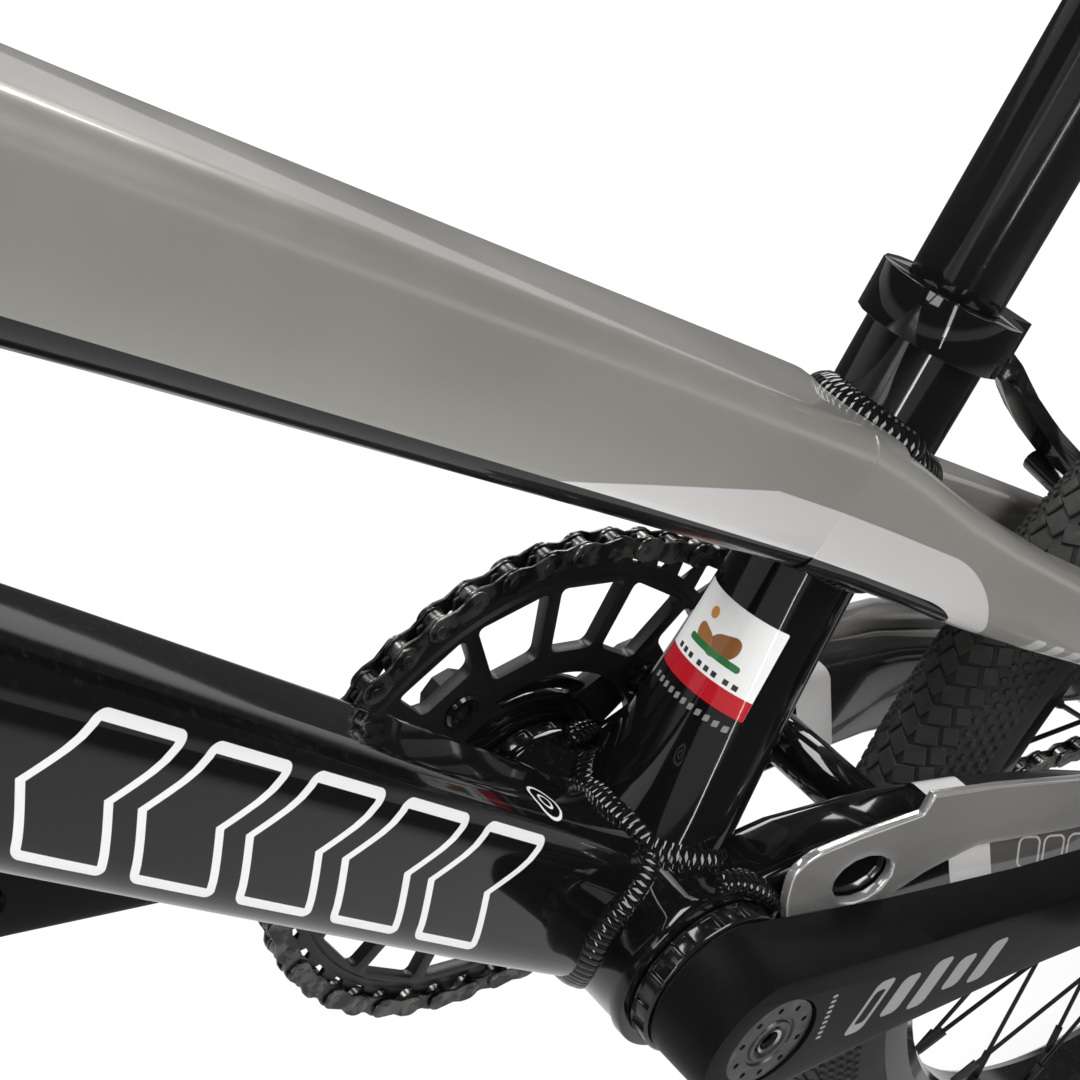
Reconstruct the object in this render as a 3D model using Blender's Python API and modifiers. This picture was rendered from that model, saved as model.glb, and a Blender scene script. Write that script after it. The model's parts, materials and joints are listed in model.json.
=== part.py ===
"""A 20 inch BMX race bike as separate parts, for Blender 4.5.  Metres, +Z up.

The origin is the centre of the bottom bracket.  +X is forwards, +Y is the rider's left and the
chain is on the right, at -Y.  The cranks lie level, the left one pointing back.
"""

import math

import bmesh
import bpy
from mathutils import Matrix, Vector

# ---------------------------------------------------------------- driving dimensions
GAP = 0.0003  # between faces that touch on the real bike
RUNNING = 0.00015  # round a shaft that turns

CHAINSTAY_LENGTH = 0.3645
BRACKET_RISE = 0.047  # of the bottom bracket above the wheel axles
FRONT_CENTRE = 0.605
HEAD_ANGLE = math.radians(74)
SEAT_ANGLE = math.radians(73)
FORK_LENGTH = 0.318
FORK_RAKE = 0.032

RIM_RADIUS = 0.209
TYRE_HEIGHT = 0.038  # above the rim
TYRE_WIDTH = 0.044
TYRE_WALL = 0.0030
RIM_DEPTH = 0.021
RIM_WIDTH = 0.028
RIM_WALL = 0.0016
RIM_WELL = 0.0105  # from the edge down to the floor between the walls
WHEEL_STEPS = 32
HUB_SPACING = 0.110  # between the dropouts, rear
FORK_SPACING = 0.100
AXLE_RADIUS = 0.005
SPOKE_COUNT = 36
SPOKE_RADIUS = 0.0009
SPOKE_LEAN = math.radians(58)  # between a spoke's ends, round the hub
SPOKE_CIRCLE = 0.025
DROPOUT_THICKNESS = 0.006  # at the axles

SHELL_RADIUS = 0.028
SHELL_LIP_RADIUS = 0.0293
SHELL_HALF = 0.041
SHELL_BORE = 0.022
CUP_RADIUS = 0.0258
CUP_END = 0.0485
SPINDLE_RADIUS = 0.012
CAP_RADIUS = 0.0162

CRANK_LENGTH = 0.175
CRANK_END_RADIUS = 0.0245
CRANK_TIP_RADIUS = 0.0145
CRANK_WAIST = ((0.34, 0.0178), (0.66, 0.0158))  # the share of its length, and half its height there
PEDAL_LENGTH = 0.100
PEDAL_WIDTH = 0.096
PEDAL_HEIGHT = 0.016
PEDAL_THREAD_RADIUS = 0.0070
PEDAL_AXLE_RADIUS = 0.0050

CHAIN_PITCH = 0.0127
RING_TEETH = 44
COG_TEETH = 16
CHAIN_LINE = -0.0495
CHAIN_HALF_WIDTH = 0.0039
CHAIN_HALF_HEIGHT = 0.0042
TOOTH_THICKNESS = 0.0020
RING_THICKNESS = 0.0042
WINDOW_COUNT = 16
WINDOW_ANGLE = math.radians(50.2)  # of the first window, which has a bolt under it
WINDOW_INNER = 0.053
WINDOW_OUTER = 0.0765
WINDOW_BOLT_INNER = 0.0625
WINDOW_CORNER = 0.0028
WEB_WIDTH = 0.0052
RING_BORE = 0.0445
BOLT_CIRCLE = 0.052
FREEWHEEL_BORE = 0.0165

HEAD_TUBE_LENGTH = 0.115
HEAD_TUBE_RADIUS = 0.023
HEAD_TUBE_BORE = 0.0185
HEADSET_STACK = 0.012
STEERER_RADIUS = 0.0143
STEM_REACH = 0.053
BAR_RISE = 0.205
BAR_WIDTH = 0.720
BAR_RADIUS = 0.0111
BAR_CLAMP_RADIUS = 0.0159
GRIP_LENGTH = 0.134
BAR_STRAIGHT = 0.156  # of each straight end, across the bike
SEAT_POST_RADIUS = 0.0136
SEAT_TUBE_TOP = 0.196  # along the tube, from the bottom bracket
SEAT_TUBE_WIDTH = 0.035
POST_TOP = 0.285  # along the seat tube
SADDLE_PIN_RADIUS = 0.0042
STEM_HEIGHT = 2 * BAR_CLAMP_RADIUS + 0.0082

# ---------------------------------------------------------------- places
LEFT = Vector((0, 1, 0))
BACK = Vector((-1, 0, 0))


def side(x, z, y=0.0):
    """The point at x and z in side view."""
    return Vector((x, y, z))


REAR_AXLE = side(-math.sqrt(CHAINSTAY_LENGTH**2 - BRACKET_RISE**2), -BRACKET_RISE)
FRONT_AXLE = side(math.sqrt(FRONT_CENTRE**2 - BRACKET_RISE**2), -BRACKET_RISE)
STEER_UP = side(-math.cos(HEAD_ANGLE), math.sin(HEAD_ANGLE))
STEER_FORE = side(math.sin(HEAD_ANGLE), math.cos(HEAD_ANGLE))
SEAT_UP = side(-math.cos(SEAT_ANGLE), math.sin(SEAT_ANGLE))
CROWN = FRONT_AXLE - FORK_RAKE * STEER_FORE + FORK_LENGTH * STEER_UP
HEAD_BOTTOM = CROWN + HEADSET_STACK * STEER_UP
HEAD_TOP = HEAD_BOTTOM + HEAD_TUBE_LENGTH * STEER_UP
STEM_CENTRE = HEAD_TOP + (HEADSET_STACK + GAP + STEM_HEIGHT / 2) * STEER_UP
BAR_CENTRE = STEM_CENTRE + STEM_REACH * STEER_FORE
DRAWN_AXLE = side(-0.361457, -0.047)  # where the rear axle lay when the places behind it were drawn
DRAWN_SPACING = 0.110
DROPOUT_INNER = HUB_SPACING / 2 + GAP


def aft(x, z, y=0.0):
    """A place behind the bottom bracket, moved with the rear axle and the width of its hub."""
    share = x / DRAWN_AXLE.x
    wider = share * (HUB_SPACING - DRAWN_SPACING) / 2 if y else 0
    return Vector((share * REAR_AXLE.x, y + wider, z + share * (REAR_AXLE.z - DRAWN_AXLE.z)))


# ---------------------------------------------------------------- scene and materials
for old in list(bpy.data.objects):
    bpy.data.objects.remove(old, do_unlink=True)

bike = bpy.data.collections.new("bmx_bike")
cutters = bpy.data.collections.new("cutters")
bpy.context.scene.collection.children.link(bike)
bpy.context.scene.collection.children.link(cutters)


def material(name, colour, roughness, metallic=0.0):
    """A Principled material."""
    made = bpy.data.materials.new(name)
    made.use_nodes = True
    shader = made.node_tree.nodes["Principled BSDF"]
    shader.inputs["Base Color"].default_value = (*colour, 1)
    shader.inputs["Roughness"].default_value = roughness
    shader.inputs["Metallic"].default_value = metallic
    return made


GLOSS_BLACK = material("gloss_black", (0.006, 0.006, 0.007), 0.08)
WARM_GREY = material("warm_grey", (0.21, 0.205, 0.19), 0.3, 0.4)
MATTE_BLACK = material("matte_black", (0.012, 0.012, 0.013), 0.45)
CHAIN_BLACK = material("chain_black", (0.01, 0.01, 0.01), 0.3, 0.6)
POLISHED = material("polished", (0.78, 0.76, 0.73), 0.1, 1.0)
STEEL = material("steel", (0.45, 0.45, 0.46), 0.25, 1.0)
GUNMETAL = material("gunmetal", (0.11, 0.11, 0.115), 0.35, 0.7)
RUBBER = material("rubber", (0.012, 0.012, 0.012), 0.75)
TYRE = material("tyre", (0.014, 0.014, 0.014), 0.8)
SEAT = material("seat", (0.014, 0.014, 0.015), 0.55)


def add(name, mesh, finish, collection=bike):
    """The object of a mesh or curve."""
    made = bpy.data.objects.new(name, mesh)
    collection.objects.link(made)
    made.data.materials.append(finish)
    return made


def from_bmesh(name, shape, finish, collection=bike):
    """The object of a bmesh, with its faces outwards."""
    bmesh.ops.recalc_face_normals(shape, faces=shape.faces)
    mesh = bpy.data.meshes.new(name)
    shape.to_mesh(mesh)
    shape.free()
    return add(name, mesh, finish, collection)


def towards(axis):
    """The rotation that takes +Z to the axis."""
    return Vector(axis).to_track_quat("Z", "Y").to_matrix().to_4x4()


def rod(name, start, end, radius, finish, sides=24, end_radius=None, collection=bike):
    """A straight round bar, or a cone."""
    start, end = Vector(start), Vector(end)
    shape = bmesh.new()
    place = Matrix.Translation((start + end) / 2) @ towards(end - start)
    bmesh.ops.create_cone(
        shape, cap_ends=True, segments=sides, radius1=radius, radius2=end_radius or radius,
        depth=(end - start).length, matrix=place,
    )
    return from_bmesh(name, shape, finish, collection)


def box(name, centre, size, finish, turn=None, collection=bike):
    """A box about its centre."""
    shape = bmesh.new()
    place = Matrix.Translation(centre) @ (turn or Matrix()) @ Matrix.Diagonal((*size, 1))
    bmesh.ops.create_cube(shape, size=1, matrix=place)
    return from_bmesh(name, shape, finish, collection)


def turned(name, profile, origin, axis, finish, steps=32, collection=bike):
    """A closed ring profile of (radius, along) turned about the axis through origin."""
    area = sum(a[0] * b[1] - b[0] * a[1] for a, b in zip(profile, profile[1:] + profile[:1]))
    if area > 0:  # a Screw makes outward faces from a profile that runs down its outer side
        profile = profile[::-1]
    shape = bmesh.new()
    points = [shape.verts.new((radius, 0, along)) for radius, along in profile]
    for first, second in zip(points, points[1:] + points[:1]):
        shape.edges.new((first, second))
    mesh = bpy.data.meshes.new(name)
    shape.to_mesh(mesh)
    shape.free()
    made = add(name, mesh, finish, collection)
    made.matrix_world = Matrix.Translation(origin) @ towards(axis)
    screw = made.modifiers.new("Turn", "SCREW")
    screw.steps = screw.render_steps = steps
    screw.use_merge_vertices = True
    screw.merge_threshold = 0.00001
    return made


def bend(name, points, radius, finish, sides=3, collection=bike, along=None, spline="POLY"):
    """A round tube along points, as a mesh; sides is its bevel resolution."""
    curve = bpy.data.curves.new(name, "CURVE")
    curve.dimensions = "3D"
    curve.bevel_depth = radius
    curve.bevel_resolution = sides
    curve.use_fill_caps = True
    line = curve.splines.new(spline)
    line.points.add(len(points) - 1)
    for place, (point, spot) in enumerate(zip(line.points, points)):
        point.co = (*spot, 1)
        point.radius = along[place] if along else 1
    shaped = bpy.data.objects.new(name, curve)
    collection.objects.link(shaped)
    return meshed(shaped, name, finish, collection)


def meshed(shaped, name, finish, collection=bike):
    """The curve object as a mesh object with its caps welded on."""
    seen = shaped.evaluated_get(bpy.context.evaluated_depsgraph_get())
    mesh = bpy.data.meshes.new_from_object(seen)
    place = shaped.matrix_world.copy()
    bpy.data.objects.remove(shaped, do_unlink=True)
    shape = bmesh.new()
    shape.from_mesh(mesh)
    bmesh.ops.remove_doubles(shape, verts=shape.verts, dist=0.000005)
    bmesh.ops.recalc_face_normals(shape, faces=shape.faces)
    shape.to_mesh(mesh)
    shape.free()
    mesh.materials.clear()
    made = add(name, mesh, finish, collection)
    made.matrix_world = place
    return made


def smooth(points, count):
    """Points spread along a smooth curve through the given ones (Catmull-Rom)."""
    points = [Vector(point) for point in points]
    ends = [2 * points[0] - points[1], *points, 2 * points[-1] - points[-2]]
    spans = len(points) - 1
    curve = []
    for number in range(count):
        at = number / (count - 1) * spans
        span = min(int(at), spans - 1)
        t = at - span
        a, b, c, d = ends[span : span + 4]
        curve.append(
            0.5 * (2 * b + (c - a) * t + (2 * a - 5 * b + 4 * c - d) * t * t + (3 * b - a - 3 * c + d) * t**3)
        )
    return curve


def loft(name, stations, finish, squareness=2.6, sides=24, collection=bike):
    """A closed tube through stations of (centre, width across Y, height); its sections are superellipses."""
    shape = bmesh.new()
    centres = [Vector(station[0]) for station in stations]
    rings = []
    for place, (centre, width, height) in enumerate(stations):
        before = centres[max(place - 1, 0)]
        after = centres[min(place + 1, len(centres) - 1)]
        ahead = (after - before).normalized()
        across = (LEFT - ahead * LEFT.dot(ahead)).normalized()
        upright = ahead.cross(across)
        ring = []
        for number in range(sides):
            turn = 2 * math.pi * (number + 0.5) / sides
            power = 2 / squareness
            wide = math.copysign(abs(math.cos(turn)) ** power, math.cos(turn)) * width / 2
            tall = math.copysign(abs(math.sin(turn)) ** power, math.sin(turn)) * height / 2
            ring.append(shape.verts.new(Vector(centre) + across * wide + upright * tall))
        rings.append(ring)
    for first, second in zip(rings, rings[1:]):
        for number in range(sides):
            after = (number + 1) % sides
            shape.faces.new((first[number], first[after], second[after], second[number]))
    shape.faces.new(rings[0])
    shape.faces.new(rings[-1])
    return from_bmesh(name, shape, finish, collection)


def plate(name, outline, low, high, finish, holes=(), collection=bike):
    """A flat plate in the XZ plane from y = low to y = high; the outline and holes are lists of (x, z)."""
    curve = bpy.data.curves.new(name, "CURVE")
    curve.dimensions = "2D"
    curve.fill_mode = "BOTH"
    curve.extrude = (high - low) / 2
    for loop in (outline, *holes):
        line = curve.splines.new("POLY")
        line.points.add(len(loop) - 1)
        line.use_cyclic_u = True
        for point, (x, z) in zip(line.points, loop):
            point.co = (x, z, 0, 1)
    shaped = bpy.data.objects.new(name, curve)
    collection.objects.link(shaped)
    shaped.matrix_world = Matrix.Translation((0, (low + high) / 2, 0)) @ Matrix.Rotation(math.pi / 2, 4, "X")
    bpy.context.view_layer.update()
    return meshed(shaped, name, finish, collection)


def cut(target, cutter, operation="DIFFERENCE"):
    """Cuts, joins or trims the target with a cutter object."""
    if cutter.name not in cutters.objects:
        for holder in list(cutter.users_collection):
            holder.objects.unlink(cutter)
        cutters.objects.link(cutter)
    cutter.hide_render = True
    cutter.display_type = "WIRE"
    boolean = target.modifiers.new(operation.title(), "BOOLEAN")
    boolean.operation = operation
    boolean.object = cutter
    return target


def bore(target, start, end, radius, sides=24):
    """Drills a round hole from start to end."""
    return cut(target, rod(target.name + "_bore", start, end, radius, MATTE_BLACK, sides, collection=cutters))


def reshape(made, move):
    """Moves every vertex of a mesh object with the function move."""
    for vertex in made.data.vertices:
        vertex.co = move(vertex.co.copy())
    return made


def round_edges(made, width, segments=2, angle=math.radians(40)):
    """A Bevel modifier on the sharp edges."""
    bevel = made.modifiers.new("Bevel", "BEVEL")
    bevel.width = width
    bevel.segments = segments
    bevel.limit_method = "ANGLE"
    bevel.angle_limit = angle
    return made


def arc(centre, radius, start, end, count):
    """Points (x, z) on an arc between two angles in degrees."""
    turns = [math.radians(start + (end - start) * number / (count - 1)) for number in range(count)]
    return [(centre[0] + radius * math.cos(turn), centre[1] + radius * math.sin(turn)) for turn in turns]


# ---------------------------------------------------------------- bottom bracket
def bottom_bracket():
    """Shell, threaded cups, spindle and its cap."""
    lip = 0.004
    half = SHELL_HALF
    turned(
        "bb_shell",
        [(SHELL_BORE, -half), (SHELL_LIP_RADIUS, -half), (SHELL_LIP_RADIUS, lip - half),
         (SHELL_RADIUS, 0.0065 - half), (SHELL_RADIUS, half - 0.0065), (SHELL_LIP_RADIUS, half - lip),
         (SHELL_LIP_RADIUS, half), (SHELL_BORE, half)],
        (0, 0, 0), LEFT, GLOSS_BLACK, 28,
    )
    for name, way in (("left_bb_cup", 1), ("right_bb_cup", -1)):
        sleeve = SHELL_BORE - GAP
        spindle = SPINDLE_RADIUS + RUNNING
        turned(
            name,
            [(spindle, 0.024), (sleeve, 0.024), (sleeve, half + GAP), (CUP_RADIUS, half + GAP),
             (CUP_RADIUS, CUP_END), (spindle, CUP_END)],
            (0, 0, 0), LEFT * way, MATTE_BLACK, 24,
        )


def crank_spindle():
    """The hollow spindle that both cranks are fixed to, and the cap on its left end."""
    inner = SPINDLE_RADIUS - 0.003
    turned(
        "crank_spindle",
        [(inner, -0.066), (SPINDLE_RADIUS, -0.066), (SPINDLE_RADIUS, 0.0665), (inner, 0.0665)],
        (0, 0, 0), LEFT, STEEL, 24,
    )
    turned(
        "spindle_cap",
        [(0.0045, 0.0702), (CAP_RADIUS, 0.0702), (CAP_RADIUS, 0.0730), (0.0045, 0.0730)],
        (0, 0, 0), LEFT, GUNMETAL, 28,
    )


# ---------------------------------------------------------------- cranks
ARM_ROOT_INNER, ARM_ROOT_OUTER = 0.0495, 0.0730
ARM_TIP_INNER, ARM_TIP_OUTER = 0.0640, 0.0780


def arm_outline():
    """The side view of a crank that points along +X."""
    reach = CRANK_LENGTH
    lean = math.degrees(math.asin((CRANK_END_RADIUS - CRANK_TIP_RADIUS) / reach))
    root = arc((0, 0), CRANK_END_RADIUS, 90 - lean, 270 + lean, 11)
    tip = arc((reach, 0), CRANK_TIP_RADIUS, -90 + lean, 90 - lean, 7)
    waist = [(reach * along, half) for along, half in CRANK_WAIST]
    return [*root, *((x, -half) for x, half in waist), *tip, *waist[::-1]]


def crank(name, way):
    """One crank: way is 1 on the left, where it points back, and -1 on the right."""
    arm = plate(name, [(-way * x, z) for x, z in arm_outline()], 0.0, 1.0, MATTE_BLACK)

    def lean_out(spot):
        share = min(max(abs(spot.x) / CRANK_LENGTH, 0), 1.1)
        if spot.x * way > 0:
            share = 0
        inner = ARM_ROOT_INNER + (ARM_TIP_INNER - ARM_ROOT_INNER) * share
        outer = ARM_ROOT_OUTER + (ARM_TIP_OUTER - ARM_ROOT_OUTER) * share
        depth = -spot.z
        return Vector((spot.x, spot.y, -way * (inner + (outer - inner) * (depth if way > 0 else 1 - depth))))

    arm.data.transform(Matrix.Translation((0, 0, -0.5)))
    reshape(arm, lean_out)
    arm.matrix_world = Matrix.Rotation(math.pi / 2, 4, "X")
    round_edges(arm, 0.0035, 1, math.radians(50))
    bore(arm, (0, way * 0.04, 0), (0, way * 0.0668, 0), SPINDLE_RADIUS + GAP, 20)
    bore(arm, (-way * CRANK_LENGTH, way * 0.04, 0), (-way * CRANK_LENGTH, way * 0.1, 0),
         PEDAL_THREAD_RADIUS + GAP, 16)
    return arm


def cranks():
    """Both cranks, the right one with its spider, and the chainring."""
    left = crank("left_crank", 1)
    bore(left, (0, 0.0699, 0), (0, 0.08, 0), CAP_RADIUS + GAP, 28)
    right = crank("right_crank", -1)
    spider_low, spider_high = -0.0575, CHAIN_LINE - RING_THICKNESS / 2 - GAP
    outline = []
    for number in range(4):
        middle = math.degrees(WINDOW_ANGLE) + 90 * number
        outline += arc((0, 0), 0.030, middle - 40, middle - 22, 2)
        spot = math.radians(middle)
        lobe = (BOLT_CIRCLE * math.cos(spot), BOLT_CIRCLE * math.sin(spot))
        outline += arc(lobe, 0.0085, middle - 80, middle + 80, 5)
        outline += arc((0, 0), 0.030, middle + 22, middle + 40, 2)
    spider = plate("spider", outline, spider_low, spider_high, MATTE_BLACK)
    cut(right, spider, "UNION")
    bore(right, (0, -0.04, 0), (0, -0.0668, 0), SPINDLE_RADIUS + GAP, 20)


def tooth_outline(teeth):
    """A sprocket's outline: flat seats between pointed teeth."""
    pitch_radius = CHAIN_PITCH / (2 * math.sin(math.pi / teeth))
    root = pitch_radius - 0.0040
    tip = pitch_radius + 0.0036
    step = 360 / teeth
    points = []
    for number in range(teeth):
        seat = number * step
        points += arc((0, 0), root, seat - step * 0.22, seat + step * 0.22, 2)
        points.append((tip * math.cos(math.radians(seat + step / 2)),
                       tip * math.sin(math.radians(seat + step / 2))))
    return points


def window(number):
    """One opening between the chainring's webs, with cut corners."""
    half_step = math.pi / WINDOW_COUNT
    middle = WINDOW_ANGLE + 2 * half_step * number
    bolt_here = number % (WINDOW_COUNT // 4) == 0
    inner = WINDOW_BOLT_INNER if bolt_here else WINDOW_INNER
    points = []
    for radius, inwards, ways in ((inner, 1, (-1, 1)), (WINDOW_OUTER, -1, (1, -1))):
        half = half_step - math.asin(WEB_WIDTH / 2 / radius)
        for way in ways:
            corner = [
                (radius, half - WINDOW_CORNER / radius),
                (radius + inwards * WINDOW_CORNER, half),
            ]
            for distance, along in corner if way == ways[1] else corner[::-1]:
                turn = middle + way * along
                points.append((distance * math.cos(turn), distance * math.sin(turn)))
    return points


def chainring():
    """The ring: thin teeth round a thicker body with windows."""
    body_radius = CHAIN_PITCH / (2 * math.sin(math.pi / RING_TEETH)) - 0.0060
    low, high = CHAIN_LINE - RING_THICKNESS / 2, CHAIN_LINE + RING_THICKNESS / 2
    windows = [window(number) for number in range(WINDOW_COUNT)]
    ring = plate("chainring", arc((0, 0), body_radius, 0, 348, 30), low, high, MATTE_BLACK,
                 [*windows, arc((0, 0), RING_BORE, 0, 342, 20)])
    low, high = CHAIN_LINE - TOOTH_THICKNESS / 2, CHAIN_LINE + TOOTH_THICKNESS / 2
    teeth = plate("chainring_teeth", tooth_outline(RING_TEETH), low, high, MATTE_BLACK,
                  [arc((0, 0), body_radius - 0.0025, 0, 340, 18)])
    cut(ring, teeth, "UNION")


def rear_cog():
    """The freewheel's 16-tooth cog on its carrier."""
    turn = Matrix.Translation((REAR_AXLE.x, 0, REAR_AXLE.z))
    cog = plate("rear_cog", tooth_outline(COG_TEETH), CHAIN_LINE - TOOTH_THICKNESS / 2,
                CHAIN_LINE + TOOTH_THICKNESS / 2, STEEL,
                [arc((0, 0), FREEWHEEL_BORE + 0.002, 0, 340, 18)])
    cog.matrix_world = turn @ cog.matrix_world
    carrier = turned(
        "cog_carrier",
        [(FREEWHEEL_BORE, -0.0025), (FREEWHEEL_BORE + 0.005, -0.0025), (FREEWHEEL_BORE + 0.005, 0.0120),
         (FREEWHEEL_BORE, 0.0120)],
        (REAR_AXLE.x, CHAIN_LINE, REAR_AXLE.z), LEFT, STEEL, 18, cutters,
    )
    cut(cog, carrier, "UNION")


# ---------------------------------------------------------------- chain
def chain_path():
    """Points every half pitch round both sprockets, as (x, z), with the outward normal of each."""
    ring = CHAIN_PITCH / (2 * math.sin(math.pi / RING_TEETH))
    cog = CHAIN_PITCH / (2 * math.sin(math.pi / COG_TEETH))
    centre = Vector((REAR_AXLE.x, REAR_AXLE.z))
    tilt = math.atan2(-REAR_AXLE.z, -REAR_AXLE.x)
    lean = math.asin((ring - cog) / centre.length)
    top = math.pi / 2 + tilt + lean
    bottom = -math.pi / 2 + tilt - lean
    points = []
    steps = 24
    for number in range(steps + 1):
        turn = bottom + (top - bottom) * number / steps
        points.append(((ring * math.cos(turn), ring * math.sin(turn)), turn))
    steps = 8
    for number in range(steps + 1):
        turn = top + (2 * math.pi + bottom - top) * number / steps
        points.append(((centre.x + cog * math.cos(turn), centre.y + cog * math.sin(turn)), turn))
    return points


def chain():
    """The chain as a loop of side plates with a bridge outside the teeth, open on the inside."""
    half, tall, wall = CHAIN_HALF_WIDTH, CHAIN_HALF_HEIGHT, 0.0020
    section = [(-half, -tall), (-half, tall + 0.0012), (half, tall + 0.0012), (half, -tall),
               (half - wall, -tall), (half - wall, tall), (wall - half, tall), (wall - half, -tall)]
    shape = bmesh.new()
    rings = []
    for (x, z), turn in chain_path():
        ring = [
            shape.verts.new((x + out * math.cos(turn), CHAIN_LINE + across, z + out * math.sin(turn)))
            for across, out in section
        ]
        rings.append(ring)
    for first, second in zip(rings, rings[1:] + rings[:1]):
        for number in range(len(section)):
            after = (number + 1) % len(section)
            shape.faces.new((first[number], first[after], second[after], second[number]))
    return from_bmesh("chain", shape, CHAIN_BLACK)


# ---------------------------------------------------------------- frame tubes
def seat_at(along):
    """A point on the seat tube's axis."""
    return SEAT_UP * along


def seat_tube_stations(grow=0.0):
    """The seat tube's sections, wider near the bottom bracket."""
    width = SEAT_TUBE_WIDTH + 2 * grow
    flares = ((0.004, 0.0190, 0.003), (0.040, 0.0150, 0.001), (0.075, 0.0070, 0), (0.110, 0.0015, 0),
              (0.135, 0, 0))
    flared = [(seat_at(along), width + wider, width + deeper) for along, wider, deeper in flares]
    return [*flared, (seat_at(SEAT_TUBE_TOP), width, width)]


def between_ends(start, end, sections):
    """Stations on a straight line, from (share of the way, width, height)."""
    return [(start.lerp(end, share), width, height) for share, width, height in sections]


DOWN_TUBE_STRAIGHT = between_ends(
    side(0.006, 0.000), HEAD_BOTTOM + 0.0106 * STEER_UP,
    ((0, 0.046, 0.050), (0.114, 0.048, 0.052), (0.411, 0.049, 0.053), (0.708, 0.047, 0.053)),
)
DOWN_TUBE = DOWN_TUBE_STRAIGHT + between_ends(
    DOWN_TUBE_STRAIGHT[-1][0], HEAD_BOTTOM + 0.0250 * STEER_UP, ((0.6, 0.043, 0.050), (1, 0.040, 0.047)),
)
TOP_TUBE = between_ends(
    side(-0.045, 0.1332), HEAD_TOP - 0.040 * STEER_UP,
    ((0, 0.057, 0.040), (0.065, 0.055, 0.041), (0.207, 0.050, 0.042), (0.483, 0.045, 0.043),
     (0.799, 0.040, 0.046),
     (1, 0.037, 0.050)),
)
SEATSTAY = [
    (aft(-0.010, 0.1468, 0.0130), 0.029, 0.041),
    (aft(-0.030, 0.1378, 0.0158), 0.029, 0.038),
    (aft(-0.055, 0.1252, 0.0215), 0.028, 0.033),
    (aft(-0.075, 0.1155, 0.0270), 0.025, 0.030),
    (aft(-0.105, 0.1022, 0.0320), 0.022, 0.0265),
    (aft(-0.150, 0.0845, 0.0375), 0.0205, 0.024),
    (aft(-0.215, 0.0590, 0.0430), 0.018, 0.021),
    (aft(-0.275, 0.0360, 0.0465), 0.015, 0.019),
    (aft(-0.322, 0.0180, 0.0480), 0.0125, 0.018),
]
CHAINSTAY = [
    (aft(-0.008, 0.0060, 0.0270), 0.024, 0.038),
    (aft(-0.035, 0.0120, 0.0305), 0.024, 0.042),
    (aft(-0.070, 0.0150, 0.0340), 0.019, 0.043),
    (aft(-0.105, 0.0130, 0.0365), 0.017, 0.040),
    (aft(-0.150, 0.0080, 0.0410), 0.017, 0.036),
    (aft(-0.200, -0.0030, 0.0450), 0.016, 0.032),
    (aft(-0.260, -0.0180, 0.0470), 0.014, 0.027),
    (aft(-0.318, -0.0335, 0.0478), 0.013, 0.023),
]


STAY_SIDES = 12


def flipped(stations, way):
    """The stations on the left for way 1, or on the right for -1."""
    return [(Vector((spot.x, way * spot.y, spot.z)), width, height) for spot, width, height in stations]


def grown(stations, amount):
    """The stations with thicker sections, for a cutter."""
    return [(spot, width + 2 * amount, height + 2 * amount) for spot, width, height in stations]


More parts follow.
